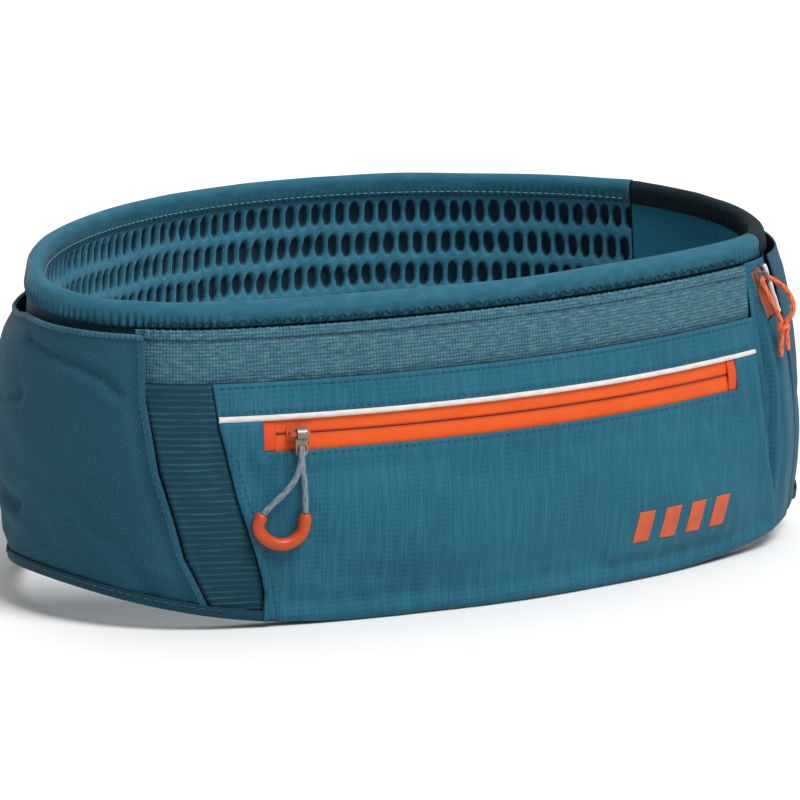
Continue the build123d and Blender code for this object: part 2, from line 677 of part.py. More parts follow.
HIP_SLIDER_L = 6.4
HIP_SLIDER_W = 5.2
HIP_SLIDER_START = 6.4
HIP_OUTER_T = 0.95
HIP_INNER_T = 0.9
HIP_INNER_LOW = -(HIP_TAPE_T + COIL_GAP + HIP_COIL_T + PLATE_LIFT + HIP_INNER_T)
HIP_POST_L = 1.6
HIP_BAR_LOW = 3.9
HIP_BAR_T = 1.0
hip_slider_plane = Plane(
    origin=hip_plane.from_local_coords(Vector(0, HIP_SLIDER_START, 0)),
    x_dir=hip_plane.x_dir,
    z_dir=hip_plane.z_dir,
)
with BuildPart() as hip_slider:
    with BuildSketch(hip_slider_plane.offset(PLATE_LIFT)):
        RectangleRounded(HIP_SLIDER_W, HIP_SLIDER_L, 1.4)
    extrude(amount=HIP_OUTER_T)
    with BuildSketch(hip_slider_plane.offset(HIP_INNER_LOW)):
        RectangleRounded(HIP_SLIDER_W - 0.6, HIP_SLIDER_L, 1.4)
    extrude(amount=HIP_INNER_T)
    with BuildSketch(hip_slider_plane.offset(HIP_INNER_LOW + HIP_INNER_T)):
        with Locations((0, -HIP_SLIDER_L / 2 + HIP_POST_L / 2 + 0.5)):
            SlotOverall(HIP_POST_L, POST_W, rotation=90)
    extrude(amount=PLATE_LIFT - HIP_INNER_LOW - HIP_INNER_T)
    bridge_plane = Plane(hip_slider_plane.origin, hip_slider_plane.y_dir, hip_slider_plane.x_dir)
    with BuildSketch(bridge_plane) as bridge:
        with BuildLine():
            Polyline(
                (-2.6, 1.0),
                (-2.6, HIP_BAR_LOW + 0.2),
                (-1.9, HIP_BAR_LOW + HIP_BAR_T),
                (1.9, HIP_BAR_LOW + HIP_BAR_T),
                (2.6, HIP_BAR_LOW + 0.2),
                (2.6, 1.0),
                (1.6, 1.0),
                (1.6, HIP_BAR_LOW),
                (-1.6, HIP_BAR_LOW),
                (-1.6, 1.0),
                close=True,
            )
        make_face()
    extrude(bridge.sketch, amount=0.7, both=True)
write(hip_slider, "hip_slider")

# The hip zip's pull is a loop of cord tied in a knot below the slider. Its route is given
# from the middle of the slider's bridge: along the wall, up, and straight out from the wall.
HIP_CORD_D = 2.0
HIP_EYE_OUT = 2.55
hip_turn = radians(HIP_ZIP_HEADING)
hip_pull_plane = Plane(
    origin=hip_slider_plane.from_local_coords(Vector(0, 0, HIP_EYE_OUT)),
    x_dir=(cos(hip_turn), sin(hip_turn), 0),
    z_dir=(sin(hip_turn), -cos(hip_turn), 0),
)
HIP_CORD_ROUTE = [
    (-0.6, -17.0, 8.6),
    (-1.7, -13.4, 7.4),
    (-3.2, -8.6, 5.4),
    (-4.0, -3.6, 3.0),
    (-2.7, -0.4, 0.2),
    (2.2, 0.4, 0.0),
    (4.0, -1.6, 3.6),
    (4.0, -5.4, 9.6),
    (2.8, -11.6, 12.6),
    (1.3, -15.4, 11.4),
    (0.6, -17.4, 9.6),
]
with BuildPart() as hip_pull_cord:
    sweep_cord(on_plane(hip_pull_plane, HIP_CORD_ROUTE), HIP_CORD_D, "hip_pull_cord")
write(hip_pull_cord, "hip_pull_cord")
print("hip_pull_cord volume", round(hip_pull_cord.part.volume, 1))

# The knot, with the cord's two cut ends below it.
KNOT_CENTRE = (0.0, -19.6, 9.2)
KNOT_R = 2.9
KNOT_SQUASH = 0.82
TAIL_ROUTES = [
    [(-0.6, -21.0, 8.9), (-1.2, -26.0, 8.6), (-0.6, -31.0, 8.3)],
    [(0.7, -21.0, 9.5), (1.8, -24.6, 10.2), (1.6, -28.6, 10.4)],
]
with BuildPart() as hip_pull_knot:
    with BuildSketch(Plane(hip_pull_plane.from_local_coords(Vector(*KNOT_CENTRE)), hip_pull_plane.x_dir)):
        with BuildLine():
            knot_profile = EllipticalCenterArc(
                (0, 0), KNOT_R, KNOT_R * KNOT_SQUASH, start_angle=0, arc_size=180
            )
            Line(knot_profile @ 0, knot_profile @ 1)
        make_face()
    knot_axis = Axis(hip_pull_plane.from_local_coords(Vector(*KNOT_CENTRE)), hip_pull_plane.x_dir)
    revolve(axis=knot_axis)
    for tail_route in TAIL_ROUTES:
        tail_points = on_plane(hip_pull_plane, tail_route)
        with BuildLine() as tail_line:
            tail_path = FilletPolyline(*tail_points, radius=largest_radii(tail_points))
        with BuildSketch(Plane(origin=tail_path @ 0, z_dir=tail_path % 0)) as tail_section:
            Circle(HIP_CORD_D / 2)
        sweep(tail_section.sketch, path=tail_line.line)
write(hip_pull_knot, "hip_pull_knot")

# ---------------------------------------------------------------- side pocket and back
# The left side pocket stands open at the top, where elastic holds its edge.
SIDE_POCKET_TOP_Z = 114.5
SIDE_POCKET_OUTER = [
    (10.0, SIDE_POCKET_TOP_Z),
    (12.6, 95.0),
    (13.8, 78.0),
    (BELLY_OUT, 60.0),
    (BELLY_OUT, BELLY_Z),
    (13.6, 24.0),
    (belly(WALL_LOW), WALL_LOW),
]
LEFT_SIDE = [*moved(LEFT_SEAM, -SEAM_GAP), (-200.0, 0.0), (-200.0, 118.0)]

with BuildPart() as side_pocket_panel:
    turn_wall(SIDE_POCKET_OUTER, shifted(SIDE_POCKET_OUTER, SKIN_T), 190.0, 350.0)
    keep_front_outline(*LEFT_SIDE, front_only=False)
    keep_above_hem(HEM_FLOOR + GAP)
write(side_pocket_panel, "side_pocket_panel")

POCKET_ELASTIC = [(11.5, SIDE_POCKET_TOP_Z - 4.0), (10.95, SIDE_POCKET_TOP_Z)]
with BuildPart() as side_pocket_elastic:
    turn_wall(POCKET_ELASTIC, shifted(POCKET_ELASTIC, 0.8), 190.0, 350.0)
    keep_front_outline(*LEFT_SIDE, front_only=False)
write(side_pocket_elastic, "side_pocket_elastic")

# The back, the hip and the flap share one outer profile that tucks in under the rim.
BACK_OUTER = [(0.2, FRONT_HEIGHT + BACK_RISE), (13.4, 66.0), (belly(WALL_LOW), WALL_LOW)]
BACK_OUTLINE = [(-147.0 + SEAM_GAP, 140.0), *moved(LEFT_SEAM, SEAM_GAP), (200.0, 0.0), (200.0, 140.0)]

with BuildPart() as back_panel:
    turn_wall(BACK_OUTER, shifted(BACK_OUTER, SKIN_T), BACK_SEAM_HEADING + 0.1, 270.0)
    keep_front_outline(*BACK_OUTLINE, front_only=False)
    keep_above_hem(HEM_FLOOR + GAP)
    keep_under_rim(RIM_H + 0.2)
write(back_panel, "back_panel")

with BuildPart() as hip_panel:
    turn_wall(BACK_OUTER, shifted(BACK_OUTER, SKIN_T), HIP_START, BACK_SEAM_HEADING - 0.1)
    keep_above_hem(HEM_FLOOR + GAP)
    keep_under_rim(RIM_H + 0.2)
write(hip_panel, "hip_panel")

# ---------------------------------------------------------------- bindings
RIM_OUTER = shifted(LINER_OUTER, -GAP - BACKING_T - RIM_WALL)
RIM_INSIDE = shifted(LINER_OUTER, LINER_T + RIM_INNER)
HEM_OUTER = belly_side(-HEM_WALL - 0.05, WALL_LOW, HEM_END_LIFT + 2 * HEM_H)
HEM_INNER = shifted(LINER_OUTER, LINER_T + HEM_WALL + 0.05)

# What the rim's binding folds over, and what the hem's binding folds over.
with BuildPart() as rim_core:
    turn_wall(
        shifted(LINER_OUTER, -GAP - BACKING_T - 0.05),
        shifted(LINER_OUTER, LINER_T + 0.05),
        0.0,
        FULL_TURN,
    )
    keep_under_rim(RIM_ROOF)

with BuildPart() as hem_core:
    turn_wall(shifted(HEM_OUTER, HEM_WALL), shifted(LINER_OUTER, LINER_T + 0.05), 0.0, FULL_TURN)
    keep_above_hem(HEM_FLOOR)


def bind_rim(start, end):
    """The rim's binding between two headings: a rolled strip folded over the wall."""
    turn_wall(RIM_OUTER, RIM_INSIDE, start, end)
    keep_under_rim(0, RIM_H)
    add(rim_core.part, mode=Mode.SUBTRACT)


def bind_hem(start, end):
    """The hem's binding between two headings, which the belt stands on."""
    turn_wall(HEM_OUTER, HEM_INNER, start, end)
    keep_above_hem(0, HEM_H)
    add(hem_core.part, mode=Mode.SUBTRACT)


with BuildPart() as rim_binding:
    bind_rim(BACK_SEAM_HEADING + 0.1, FULL_TURN + FRONT_END)
    cut_for_flap()
write(rim_binding, "rim_binding")

with BuildPart() as hip_rim_binding:
    bind_rim(HIP_START, BACK_SEAM_HEADING - 0.1)
write(hip_rim_binding, "hip_rim_binding")

with BuildPart() as hem_binding:
    bind_hem(HIP_START, FULL_TURN + FRONT_END)
    cut_for_flap()
write(hem_binding, "hem_binding")

# ---------------------------------------------------------------- closure flap
with BuildPart() as flap_lining:
    turn_wall(LINER_OUTER, INNER_FACE, FRONT_TURN, FLAP_END)
    keep_above_hem(HEM_FLOOR + GAP)
    keep_under_rim(RIM_ROOF + GAP)
    keep_flap()
write(flap_lining, "flap_lining")

with BuildPart() as flap_backing:
    turn_wall(BACKING_OUTER, BACKING_INNER, FRONT_TURN, FLAP_END)
    keep_above_hem(HEM_FLOOR + GAP)
    keep_under_rim(RIM_ROOF + GAP)
    keep_flap()
write(flap_backing, "flap_backing")

with BuildPart() as flap_panel:
    turn_wall(BACK_OUTER, shifted(BACK_OUTER, SKIN_T), FRONT_TURN, FLAP_END)
    keep_above_hem(HEM_FLOOR + GAP)
    keep_under_rim(RIM_H + 0.2)
    keep_flap()
write(flap_panel, "flap_panel")

with BuildPart() as flap_rim_binding:
    bind_rim(FRONT_TURN, FLAP_END)
    keep_flap()
write(flap_rim_binding, "flap_rim_binding")

with BuildPart() as flap_hem_binding:
    bind_hem(FRONT_TURN, FLAP_END)
    keep_flap()
write(flap_hem_binding, "flap_hem_binding")

TONGUE_OUTER = lining_side(TONGUE_DEPTH, PATCH_LOW_Z - 2.0, PATCH_HIGH_Z + 2.0)
TONGUE_ROOT_HEADING = 58.0
with BuildPart() as closure_tongue:
    turn_wall(TONGUE_OUTER, shifted(TONGUE_OUTER, TONGUE_T), TONGUE_END_HEADING, TONGUE_ROOT_HEADING)
write(closure_tongue, "closure_tongue")

HOOK_OUTER = lining_side(HOOK_DEPTH, PATCH_LOW_Z, PATCH_HIGH_Z)
with BuildPart() as hook_patch:
    turn_wall(HOOK_OUTER, shifted(HOOK_OUTER, HOOK_T), TONGUE_END_HEADING + 0.4, PATCH_END_HEADING - 1.0)
write(hook_patch, "hook_patch")

# ---------------------------------------------------------------- badge and bar tacks
# A plain mark of four slanting bars, printed thick, low on the front pocket.
BADGE_HEADING = 11.6
BADGE_Z = 22.5
BADGE_T = 0.5
BAR_COUNT = 4
BAR_PITCH = 14.0
BAR_W = 8.0
BAR_H = 12.0
BAR_SLANT = 3.0
with BuildPart() as printed_badge:
    for bar in range(BAR_COUNT):
        bar_turn = degrees((bar - (BAR_COUNT - 1) / 2) * BAR_PITCH / (FRONT_R + BELLY_OUT))
        bar_plane = wall_plane(BADGE_HEADING + bar_turn, BADGE_Z, -0.2)
        with BuildSketch(bar_plane) as bar_outline:
            with BuildLine():
                Polyline(
                    (-BAR_W / 2 - BAR_SLANT / 2, -BAR_H / 2),
                    (BAR_W / 2 - BAR_SLANT / 2, -BAR_H / 2),
                    (BAR_W / 2 + BAR_SLANT / 2, BAR_H / 2),
                    (-BAR_W / 2 + BAR_SLANT / 2, BAR_H / 2),
                    close=True,
                )
            make_face()
        extrude(bar_outline.sketch, amount=BADGE_T)
write(printed_badge, "printed_badge")

print("flap hinge", FLAP_HINGE, "reach", FLAP_REACH)
print("slider axis", (0, FRONT_Y), "side y", SIDE_Y)
print("tab bar", crown_bar, "axis", -slider_plane.x_dir)
print("cord eye", pull_plane.from_local_coords(Vector(0, TAB_EYE_Y, 0)), "axis", pull_plane.z_dir)
print("hip slide", -hip_plane.y_dir)
print("hip pull", hip_pull_plane.origin, "axis", -hip_pull_plane.x_dir)
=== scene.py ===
"""Running waist pack: cloth, seams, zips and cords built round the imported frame."""

import math

import bpy
import numpy as np
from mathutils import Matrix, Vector
from mathutils.kdtree import KDTree


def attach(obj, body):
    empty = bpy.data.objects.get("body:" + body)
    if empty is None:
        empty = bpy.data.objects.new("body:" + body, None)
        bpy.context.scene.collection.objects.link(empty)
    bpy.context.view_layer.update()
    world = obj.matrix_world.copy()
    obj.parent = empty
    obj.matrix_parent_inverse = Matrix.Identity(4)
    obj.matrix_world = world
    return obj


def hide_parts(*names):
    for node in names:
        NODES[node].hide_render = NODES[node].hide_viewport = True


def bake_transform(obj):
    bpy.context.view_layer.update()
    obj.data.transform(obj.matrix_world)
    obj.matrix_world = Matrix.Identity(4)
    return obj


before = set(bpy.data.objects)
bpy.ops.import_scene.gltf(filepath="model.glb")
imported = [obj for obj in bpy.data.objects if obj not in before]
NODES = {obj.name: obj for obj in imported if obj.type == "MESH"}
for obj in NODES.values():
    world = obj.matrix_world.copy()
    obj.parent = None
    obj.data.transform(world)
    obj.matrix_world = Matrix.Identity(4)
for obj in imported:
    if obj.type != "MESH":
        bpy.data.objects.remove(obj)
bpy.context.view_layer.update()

MM = 0.001


# ---------------------------------------------------------------- camera
def make_camera():
    """A long lens a little above the rim, off the wearer's right front."""
    aim = Vector((0.0, -0.02533, 0.0663))
    azimuth, elevation, distance = math.radians(-31.47), math.radians(12.25), 2.7807
    back = Vector(
        (
            math.sin(azimuth) * math.cos(elevation),
            -math.cos(azimuth) * math.cos(elevation),
            math.sin(elevation),
        )
    )
    data = bpy.data.cameras.new("camera")
    data.lens, data.sensor_width = 314.98, 36.0
    data.shift_x, data.shift_y = -0.0086, -0.008
    data.clip_start, data.clip_end = 0.1, 60.0
    cam = bpy.data.objects.new("camera", data)
    bpy.context.scene.collection.objects.link(cam)
    cam.location = aim + back * distance
    cam.rotation_mode = "QUATERNION"
    cam.rotation_quaternion = (-back).to_track_quat("-Z", "Y")
    bpy.context.scene.camera = cam


make_camera()


# ---------------------------------------------------------------- materials
def linear(r, g, b):
    """An sRGB colour, 0 to 255, as linear RGBA."""
    out = []
    for c in (r, g, b):
        c /= 255
        out.append(c / 12.92 if c <= 0.04045 else ((c + 0.055) / 1.055) ** 2.4)
    return (*out, 1.0)


class Cloth:
    """A node material whose patterns are drawn in millimetres on the UV map."""

    def __init__(self, name, colour, rough=0.8, sheen=0.0, specular=0.3, metallic=0.0):
        self.mat = bpy.data.materials.new(name)
        self.mat.use_nodes = True
        self.tree = self.mat.node_tree
        self.bsdf = self.tree.nodes["Principled BSDF"]
        self.colour = linear(*colour)
        self.bsdf.inputs["Base Color"].default_value = self.colour
        self.bsdf.inputs["Roughness"].default_value = rough
        self.bsdf.inputs["Specular IOR Level"].default_value = specular
        self.bsdf.inputs["Metallic"].default_value = metallic
        if sheen:
            self.bsdf.inputs["Sheen Weight"].default_value = sheen
            self.bsdf.inputs["Sheen Roughness"].default_value = 0.45
            self.bsdf.inputs["Sheen Tint"].default_value = (0.75, 0.9, 1.0, 1.0)
        uv = self.tree.nodes.new("ShaderNodeUVMap")
        uv.uv_map = "cloth"
        split = self.tree.nodes.new("ShaderNodeSeparateXYZ")
        self.tree.links.new(uv.outputs["UV"], split.inputs[0])
        self.u, self.v = split.outputs[0], split.outputs[1]
        self.height = None

    def put(self, value, socket):
        if isinstance(value, bpy.types.NodeSocket):
            self.tree.links.new(value, socket)
        else:
            socket.default_value = value

    def maths(self, operation, *values):
        node = self.tree.nodes.new("ShaderNodeMath")
        node.operation = operation
        for value, socket in zip(values, node.inputs):
            self.put(value, socket)
        return node.outputs[0]

    def add(self, a, b):
        return self.maths("ADD", a, b)

    def times(self, a, b):
        return self.maths("MULTIPLY", a, b)

    def stripe(self, along, pitch, power=1.0, phase=0.0):
        """Bands from 0 to 1, one every pitch millimetres, narrower at a higher power."""
        wave = self.maths("SINE", self.maths("MULTIPLY_ADD", along, 2 * math.pi / pitch, phase))
        half = self.add(self.times(wave, 0.5), 0.5)
        return self.maths("POWER", half, power) if power != 1.0 else half

    def noise(self, across, up, detail=2.0, seed=0.0):
        """Noise from 0 to 1, with features about this many millimetres across and up."""
        place = self.tree.nodes.new("ShaderNodeCombineXYZ")
        self.put(self.times(self.u, 1 / across), place.inputs[0])
        self.put(self.times(self.v, 1 / up), place.inputs[1])
        place.inputs[2].default_value = seed
        node = self.tree.nodes.new("ShaderNodeTexNoise")
        node.inputs["Scale"].default_value = 1.0
        node.inputs["Detail"].default_value = detail
        self.tree.links.new(place.outputs[0], node.inputs["Vector"])
        return node.outputs["Fac"]

    def spread(self, value, low, high):
        """Stretch the part of a value from low to high over 0 to 1."""
        node = self.tree.nodes.new("ShaderNodeMapRange")
        self.put(value, node.inputs[0])
        node.inputs[1].default_value, node.inputs[2].default_value = low, high
        return node.outputs[0]

    def attribute(self, name):
        node = self.tree.nodes.new("ShaderNodeAttribute")
        node.attribute_name = name
        return node.outputs["Fac"]

    def tint(self, factor, colour):
        """Mix the colour so far towards another by a factor."""
        node = self.tree.nodes.new("ShaderNodeMix")
        node.data_type = "RGBA"
        self.put(factor, node.inputs[0])
        source = self.bsdf.inputs["Base Color"]
        if source.links:
            self.tree.links.new(source.links[0].from_socket, node.inputs[6])
        else:
            node.inputs[6].default_value = self.colour
        node.inputs[7].default_value = linear(*colour)
        self.tree.links.new(node.outputs[2], source)

    def raise_by(self, value, amount):
        """Add a pattern to the surface's height, in millimetres."""
        scaled = self.times(value, amount)
        self.height = scaled if self.height is None else self.add(self.height, scaled)

    def rough_from(self, value, low, high):
        node = self.tree.nodes.new("ShaderNodeMapRange")
        self.put(value, node.inputs[0])
        node.inputs[3].default_value, node.inputs[4].default_value = low, high
        self.tree.links.new(node.outputs[0], self.bsdf.inputs["Roughness"])

    def done(self, strength=1.0):
        if self.height is not None:
            bump = self.tree.nodes.new("ShaderNodeBump")
            bump.inputs["Distance"].default_value = MM
            bump.inputs["Strength"].default_value = strength
            self.tree.links.new(self.height, bump.inputs["Height"])
            self.tree.links.new(bump.outputs[0], self.bsdf.inputs["Normal"])
        return self.mat


def weave(cloth, pitch, amount):
    """A plain weave of crossing threads."""
    across = cloth.maths("SINE", cloth.times(cloth.u, math.pi / pitch))
    up = cloth.maths("SINE", cloth.times(cloth.v, math.pi / pitch))
    knots = cloth.maths("ABSOLUTE", cloth.times(across, up))
    cloth.raise_by(knots, amount)
    return knots


def ripstop_material(name="ripstop", colour=(34, 96, 116)):
    c = Cloth(name, colour, rough=0.66, sheen=0.04, specular=0.14)
    warp = c.stripe(c.u, 1.55, 4.0)
    weft = c.stripe(c.v, 2.1, 5.0)
    broken = c.spread(c.noise(1.6, 7.0, 2.0, 9.0), 0.38, 0.62)
    c.tint(c.times(c.spread(c.noise(60, 40, 3.0), 0.3, 0.7), 0.45), (12, 66, 86))
    c.tint(c.times(c.spread(c.noise(2.0, 24, 2.0, 4.0), 0.45, 0.75), 0.35), (56, 118, 138))
    c.tint(c.times(c.times(warp, broken), 0.42), (8, 56, 76))
    c.tint(c.times(weft, 0.14), (62, 120, 140))
    weave(c, 0.32, 0.05)
    c.raise_by(warp, -0.09)
    c.raise_by(weft, 0.05)
    c.raise_by(c.noise(7, 7, 3.0, 2.0), 0.35)
    c.rough_from(c.noise(30, 30, 2.0, 6.0), 0.6, 0.75)
    return c.done(0.7)


def stretch_mesh_material():
    c = Cloth("stretch_mesh", (56, 104, 120), rough=0.85, sheen=0.06, specular=0.2)
    streak = c.spread(c.noise(5.0, 1.0, 3.0, 1.0), 0.42, 0.66)
    c.tint(c.times(streak, 0.6), (108, 146, 152))
    fleck = c.spread(c.noise(1.3, 1.1, 2.0, 8.0), 0.5, 0.72)
    c.tint(c.times(fleck, 0.55), (26, 58, 74))
    squares = c.maths("MAXIMUM", c.stripe(c.u, 1.35, 3.0), c.stripe(c.v, 1.3, 3.0))
    c.tint(c.times(squares, 0.55), (30, 64, 80))
    c.raise_by(squares, -0.22)
    c.raise_by(fleck, 0.12)
    return c.done(0.9)


def ribbed_material():
    c = Cloth("ribbed_stretch", (20, 60, 74), rough=0.85, sheen=0.05, specular=0.2)
    rib = c.stripe(c.v, 2.4, 3.0)
    broken = c.spread(c.noise(14.0, 2.0, 2.0, 3.0), 0.4, 0.62)
    c.tint(c.times(c.times(rib, broken), 0.45), (54, 100, 112))
    c.tint(c.times(c.stripe(c.v, 2.4, 4.0, math.pi), 0.4), (8, 38, 50))
    c.raise_by(rib, 0.28)
    weave(c, 0.4, 0.05)
    return c.done(0.9)


def side_material(name="side_stretch", colour=(26, 74, 92)):
    c = Cloth(name, colour, rough=0.88, sheen=0.06, specular=0.2)
    c.tint(c.times(c.spread(c.noise(50, 36, 3.0), 0.35, 0.68), 0.4), (12, 54, 70))
    twill = c.stripe(c.add(c.u, c.v), 1.25, 1.5)
    grain = c.spread(c.noise(1.0, 0.8, 2.0, 5.0), 0.4, 0.7)
    c.tint(c.times(c.times(twill, grain), 0.45), (66, 116, 130))
    c.tint(c.times(c.stripe(c.v, 0.9, 2.0), 0.18), (16, 46, 60))
    c.raise_by(twill, 0.1)
    c.raise_by(grain, 0.08)
    return c.done(0.8)


def lining_material():
    c = Cloth("plain_lining", (34, 116, 142), rough=0.85, sheen=0.08, specular=0.2)
    c.tint(c.times(c.stripe(c.v, 1.6, 2.0), 0.25), (14, 56, 74))
    c.tint(c.times(c.spread(c.noise(30, 22, 3.0), 0.4, 0.7), 0.3), (44, 98, 116))
    weave(c, 0.5, 0.12)
    return c.done(0.8)


def spacer_material():
    c = Cloth("spacer_mesh", (50, 126, 150), rough=0.75, sheen=0.12, specular=0.25)
    loops = c.times(c.stripe(c.v, 0.85, 1.0), c.stripe(c.u, 0.8, 1.0))
    c.tint(c.times(c.spread(c.noise(2.2, 2.2, 3.0, 2.0), 0.4, 0.7), 0.35), (92, 142, 158))
    c.tint(c.times(loops, 0.25), (20, 66, 84))
    c.tint(c.times(c.spread(c.noise(11.0, 9.0, 2.0, 7.0), 0.35, 0.65), 0.3), (24, 84, 104))
    # Painted shade: the hole mask darkens the pits of the spacer mesh.
    c.tint(c.spread(c.attribute("hole"), 0.2, 0.8), (6, 40, 54))
    c.raise_by(loops, 0.22)
    return c.done(0.9)


def knit_binding_material(name, colour, light, dark, sheen=0.08):
    c = Cloth(name, colour, rough=0.8, sheen=sheen, specular=0.2)
    wale = c.stripe(c.u, 0.95, 1.5)
    c.tint(c.times(wale, 0.14), light)
    c.tint(c.times(c.spread(c.noise(9, 4, 3.0, 3.0), 0.4, 0.7), 0.3), light)
    # Painted shade: a per-vertex attribute darkens the elastic towards the dark colour in its gathers, down
    # its legs and along the hem's top edge.
    c.tint(c.times(c.attribute("groove"), 0.75), dark)
    c.raise_by(wale, 0.04)
    c.raise_by(c.noise(7.0, 2.2, 3.0, 5.0), 0.3)
    return c.done(0.8)


def zip_tape_material(name="zip_tape", colour=(216, 80, 20)):
    c = Cloth(name, colour, rough=0.55, sheen=0.03, specular=0.25)
    c.tint(c.times(c.stripe(c.u, 0.9, 2.0), 0.14), (246, 122, 62))
    c.tint(c.times(c.spread(c.noise(16, 5, 3.0), 0.45, 0.75), 0.3), (196, 62, 22))
    # Painted shade along the coil slot, from a per-vertex attribute.
    c.tint(c.times(c.attribute("groove"), 0.6), (112, 34, 14))
    c.raise_by(c.stripe(c.u, 0.9, 1.0), 0.05)
    c.raise_by(c.stripe(c.v, 0.7, 1.0), 0.04)
    return c.done(0.7)


def plain_material(name, colour, rough, sheen=0.0, specular=0.3, metallic=0.0, grain=0.0):
    c = Cloth(name, colour, rough=rough, sheen=sheen, specular=specular, metallic=metallic)
    darker = tuple(x * 0.72 for x in colour)
    c.tint(c.times(c.spread(c.noise(5, 5, 3.0), 0.4, 0.7), 0.35), darker)
    if grain:
        c.raise_by(c.noise(0.5, 0.5, 2.0, 3.0), grain)
    return c.done(0.7)


def braid_material(name, colour, light, dark, diameter):
    """Crossing strands round a cord; the UV map goes round it and along it."""
    c = Cloth(name, colour, rough=0.75, sheen=0.3)
    around = math.pi * diameter
    one = c.stripe(c.add(c.times(c.u, 3.0), c.v), around, 1.0)
    other = c.stripe(c.add(c.times(c.u, -3.0), c.v), around, 1.0)
    strands = c.maths("MAXIMUM", one, other)
    c.tint(c.times(c.maths("SUBTRACT", 1.0, strands), 0.55), dark)
    c.tint(c.times(c.spread(c.noise(0.7, 2.0, 2.0), 0.45, 0.7), 0.4), light)
    c.raise_by(strands, 0.3)
    return c.done(0.9)


def metal_material(name, dark, light, metallic):
    """Painted zinc, its paint rubbed unevenly."""
    mat = bpy.data.materials.new(name)
    mat.use_nodes = True
    tree = mat.node_tree
    bsdf = tree.nodes["Principled BSDF"]
    bsdf.inputs["Metallic"].default_value = metallic
    bsdf.inputs["Specular IOR Level"].default_value = 0.5
    place = tree.nodes.new("ShaderNodeTexCoord")
    noise = tree.nodes.new("ShaderNodeTexNoise")
    noise.inputs["Scale"].default_value = 900.0
    noise.inputs["Detail"].default_value = 3.0
    tree.links.new(place.outputs["Object"], noise.inputs["Vector"])
    ramp = tree.nodes.new("ShaderNodeMix")
    ramp.data_type = "RGBA"
    ramp.inputs[6].default_value = linear(*dark)
    ramp.inputs[7].default_value = linear(*light)
    tree.links.new(noise.outputs["Fac"], ramp.inputs[0])
    tree.links.new(ramp.outputs[2], bsdf.inputs["Base Color"])
    rough = tree.nodes.new("ShaderNodeMapRange")
    rough.inputs[3].default_value, rough.inputs[4].default_value = 0.3, 0.5
    tree.links.new(noise.outputs["Fac"], rough.inputs[0])
    tree.links.new(rough.outputs[0], bsdf.inputs["Roughness"])
    bump = tree.nodes.new("ShaderNodeBump")
    bump.inputs["Distance"].default_value = 0.00008
    tree.links.new(noise.outputs["Fac"], bump.inputs["Height"])
    tree.links.new(bump.outputs[0], bsdf.inputs["Normal"])
    return mat


M = {
    "ripstop": ripstop_material(),
    "end_ripstop": ripstop_material("ripstop_end", (28, 86, 106)),
    "mesh": stretch_mesh_material(),
    "ribbed": ribbed_material(),
    "side": side_material(),
    "lining": lining_material(),
    "spacer": spacer_material(),
    "rim": knit_binding_material("rim_elastic", (28, 86, 105), (58, 118, 136), (6, 38, 50)),
    "dark_rim": knit_binding_material("dark_elastic", (3, 22, 29), (14, 44, 54), (1, 8, 12), sheen=0.02),
    "hem": knit_binding_material("hem_elastic", (12, 52, 67), (30, 80, 96), (4, 24, 34)),
    "edge": knit_binding_material("pocket_elastic", (38, 84, 100), (96, 132, 142), (14, 48, 62)),
    "backing": plain_material("backing", (20, 54, 68), 0.9, sheen=0.1, grain=0.1),
    "piping": plain_material("reflective_piping", (216, 210, 206), 0.45, specular=0.5, grain=0.05),
    "tape": zip_tape_material(),
    # The hip zip's tape is the front zip's orange tape with painted shade: a darkened brown copy, as that zip
    # lies in shadow.
    "shaded_hip_tape": zip_tape_material("shaded_hip_zip_tape", (132, 70, 46)),
    "tab": zip_tape_material("zip_end_cloth", (206, 68, 24)),
    "coil": plain_material("zip_coil", (66, 34, 26), 0.45, specular=0.5),
    "cord": braid_material("grey_cord", (112, 124, 134), (158, 166, 172), (52, 62, 70), 2.2),
    "hip_cord": braid_material("orange_cord", (228, 92, 42), (250, 158, 96), (140, 44, 16), 2.0),
    "grip": plain_material("orange_grip", (186, 66, 18), 0.42, specular=0.45, grain=0.05),
    "hook": plain_material("hook_loop", (14, 18, 22), 0.95, sheen=0.2, grain=0.5),
    "badge": plain_material("badge_print", (196, 84, 44), 0.55, specular=0.4, grain=0.08),
    "thread": plain_material("thread", (40, 92, 108), 0.8),
    "pale_thread": plain_material("pale_thread", (104, 150, 162), 0.8),
    "dark_thread": plain_material("dark_thread", (12, 50, 64), 0.8),
    "paint": metal_material("slider_paint", (168, 66, 30), (216, 104, 66), 0.15),
    "metal": metal_material("slider_metal", (98, 92, 88), (156, 146, 138), 0.55),
}


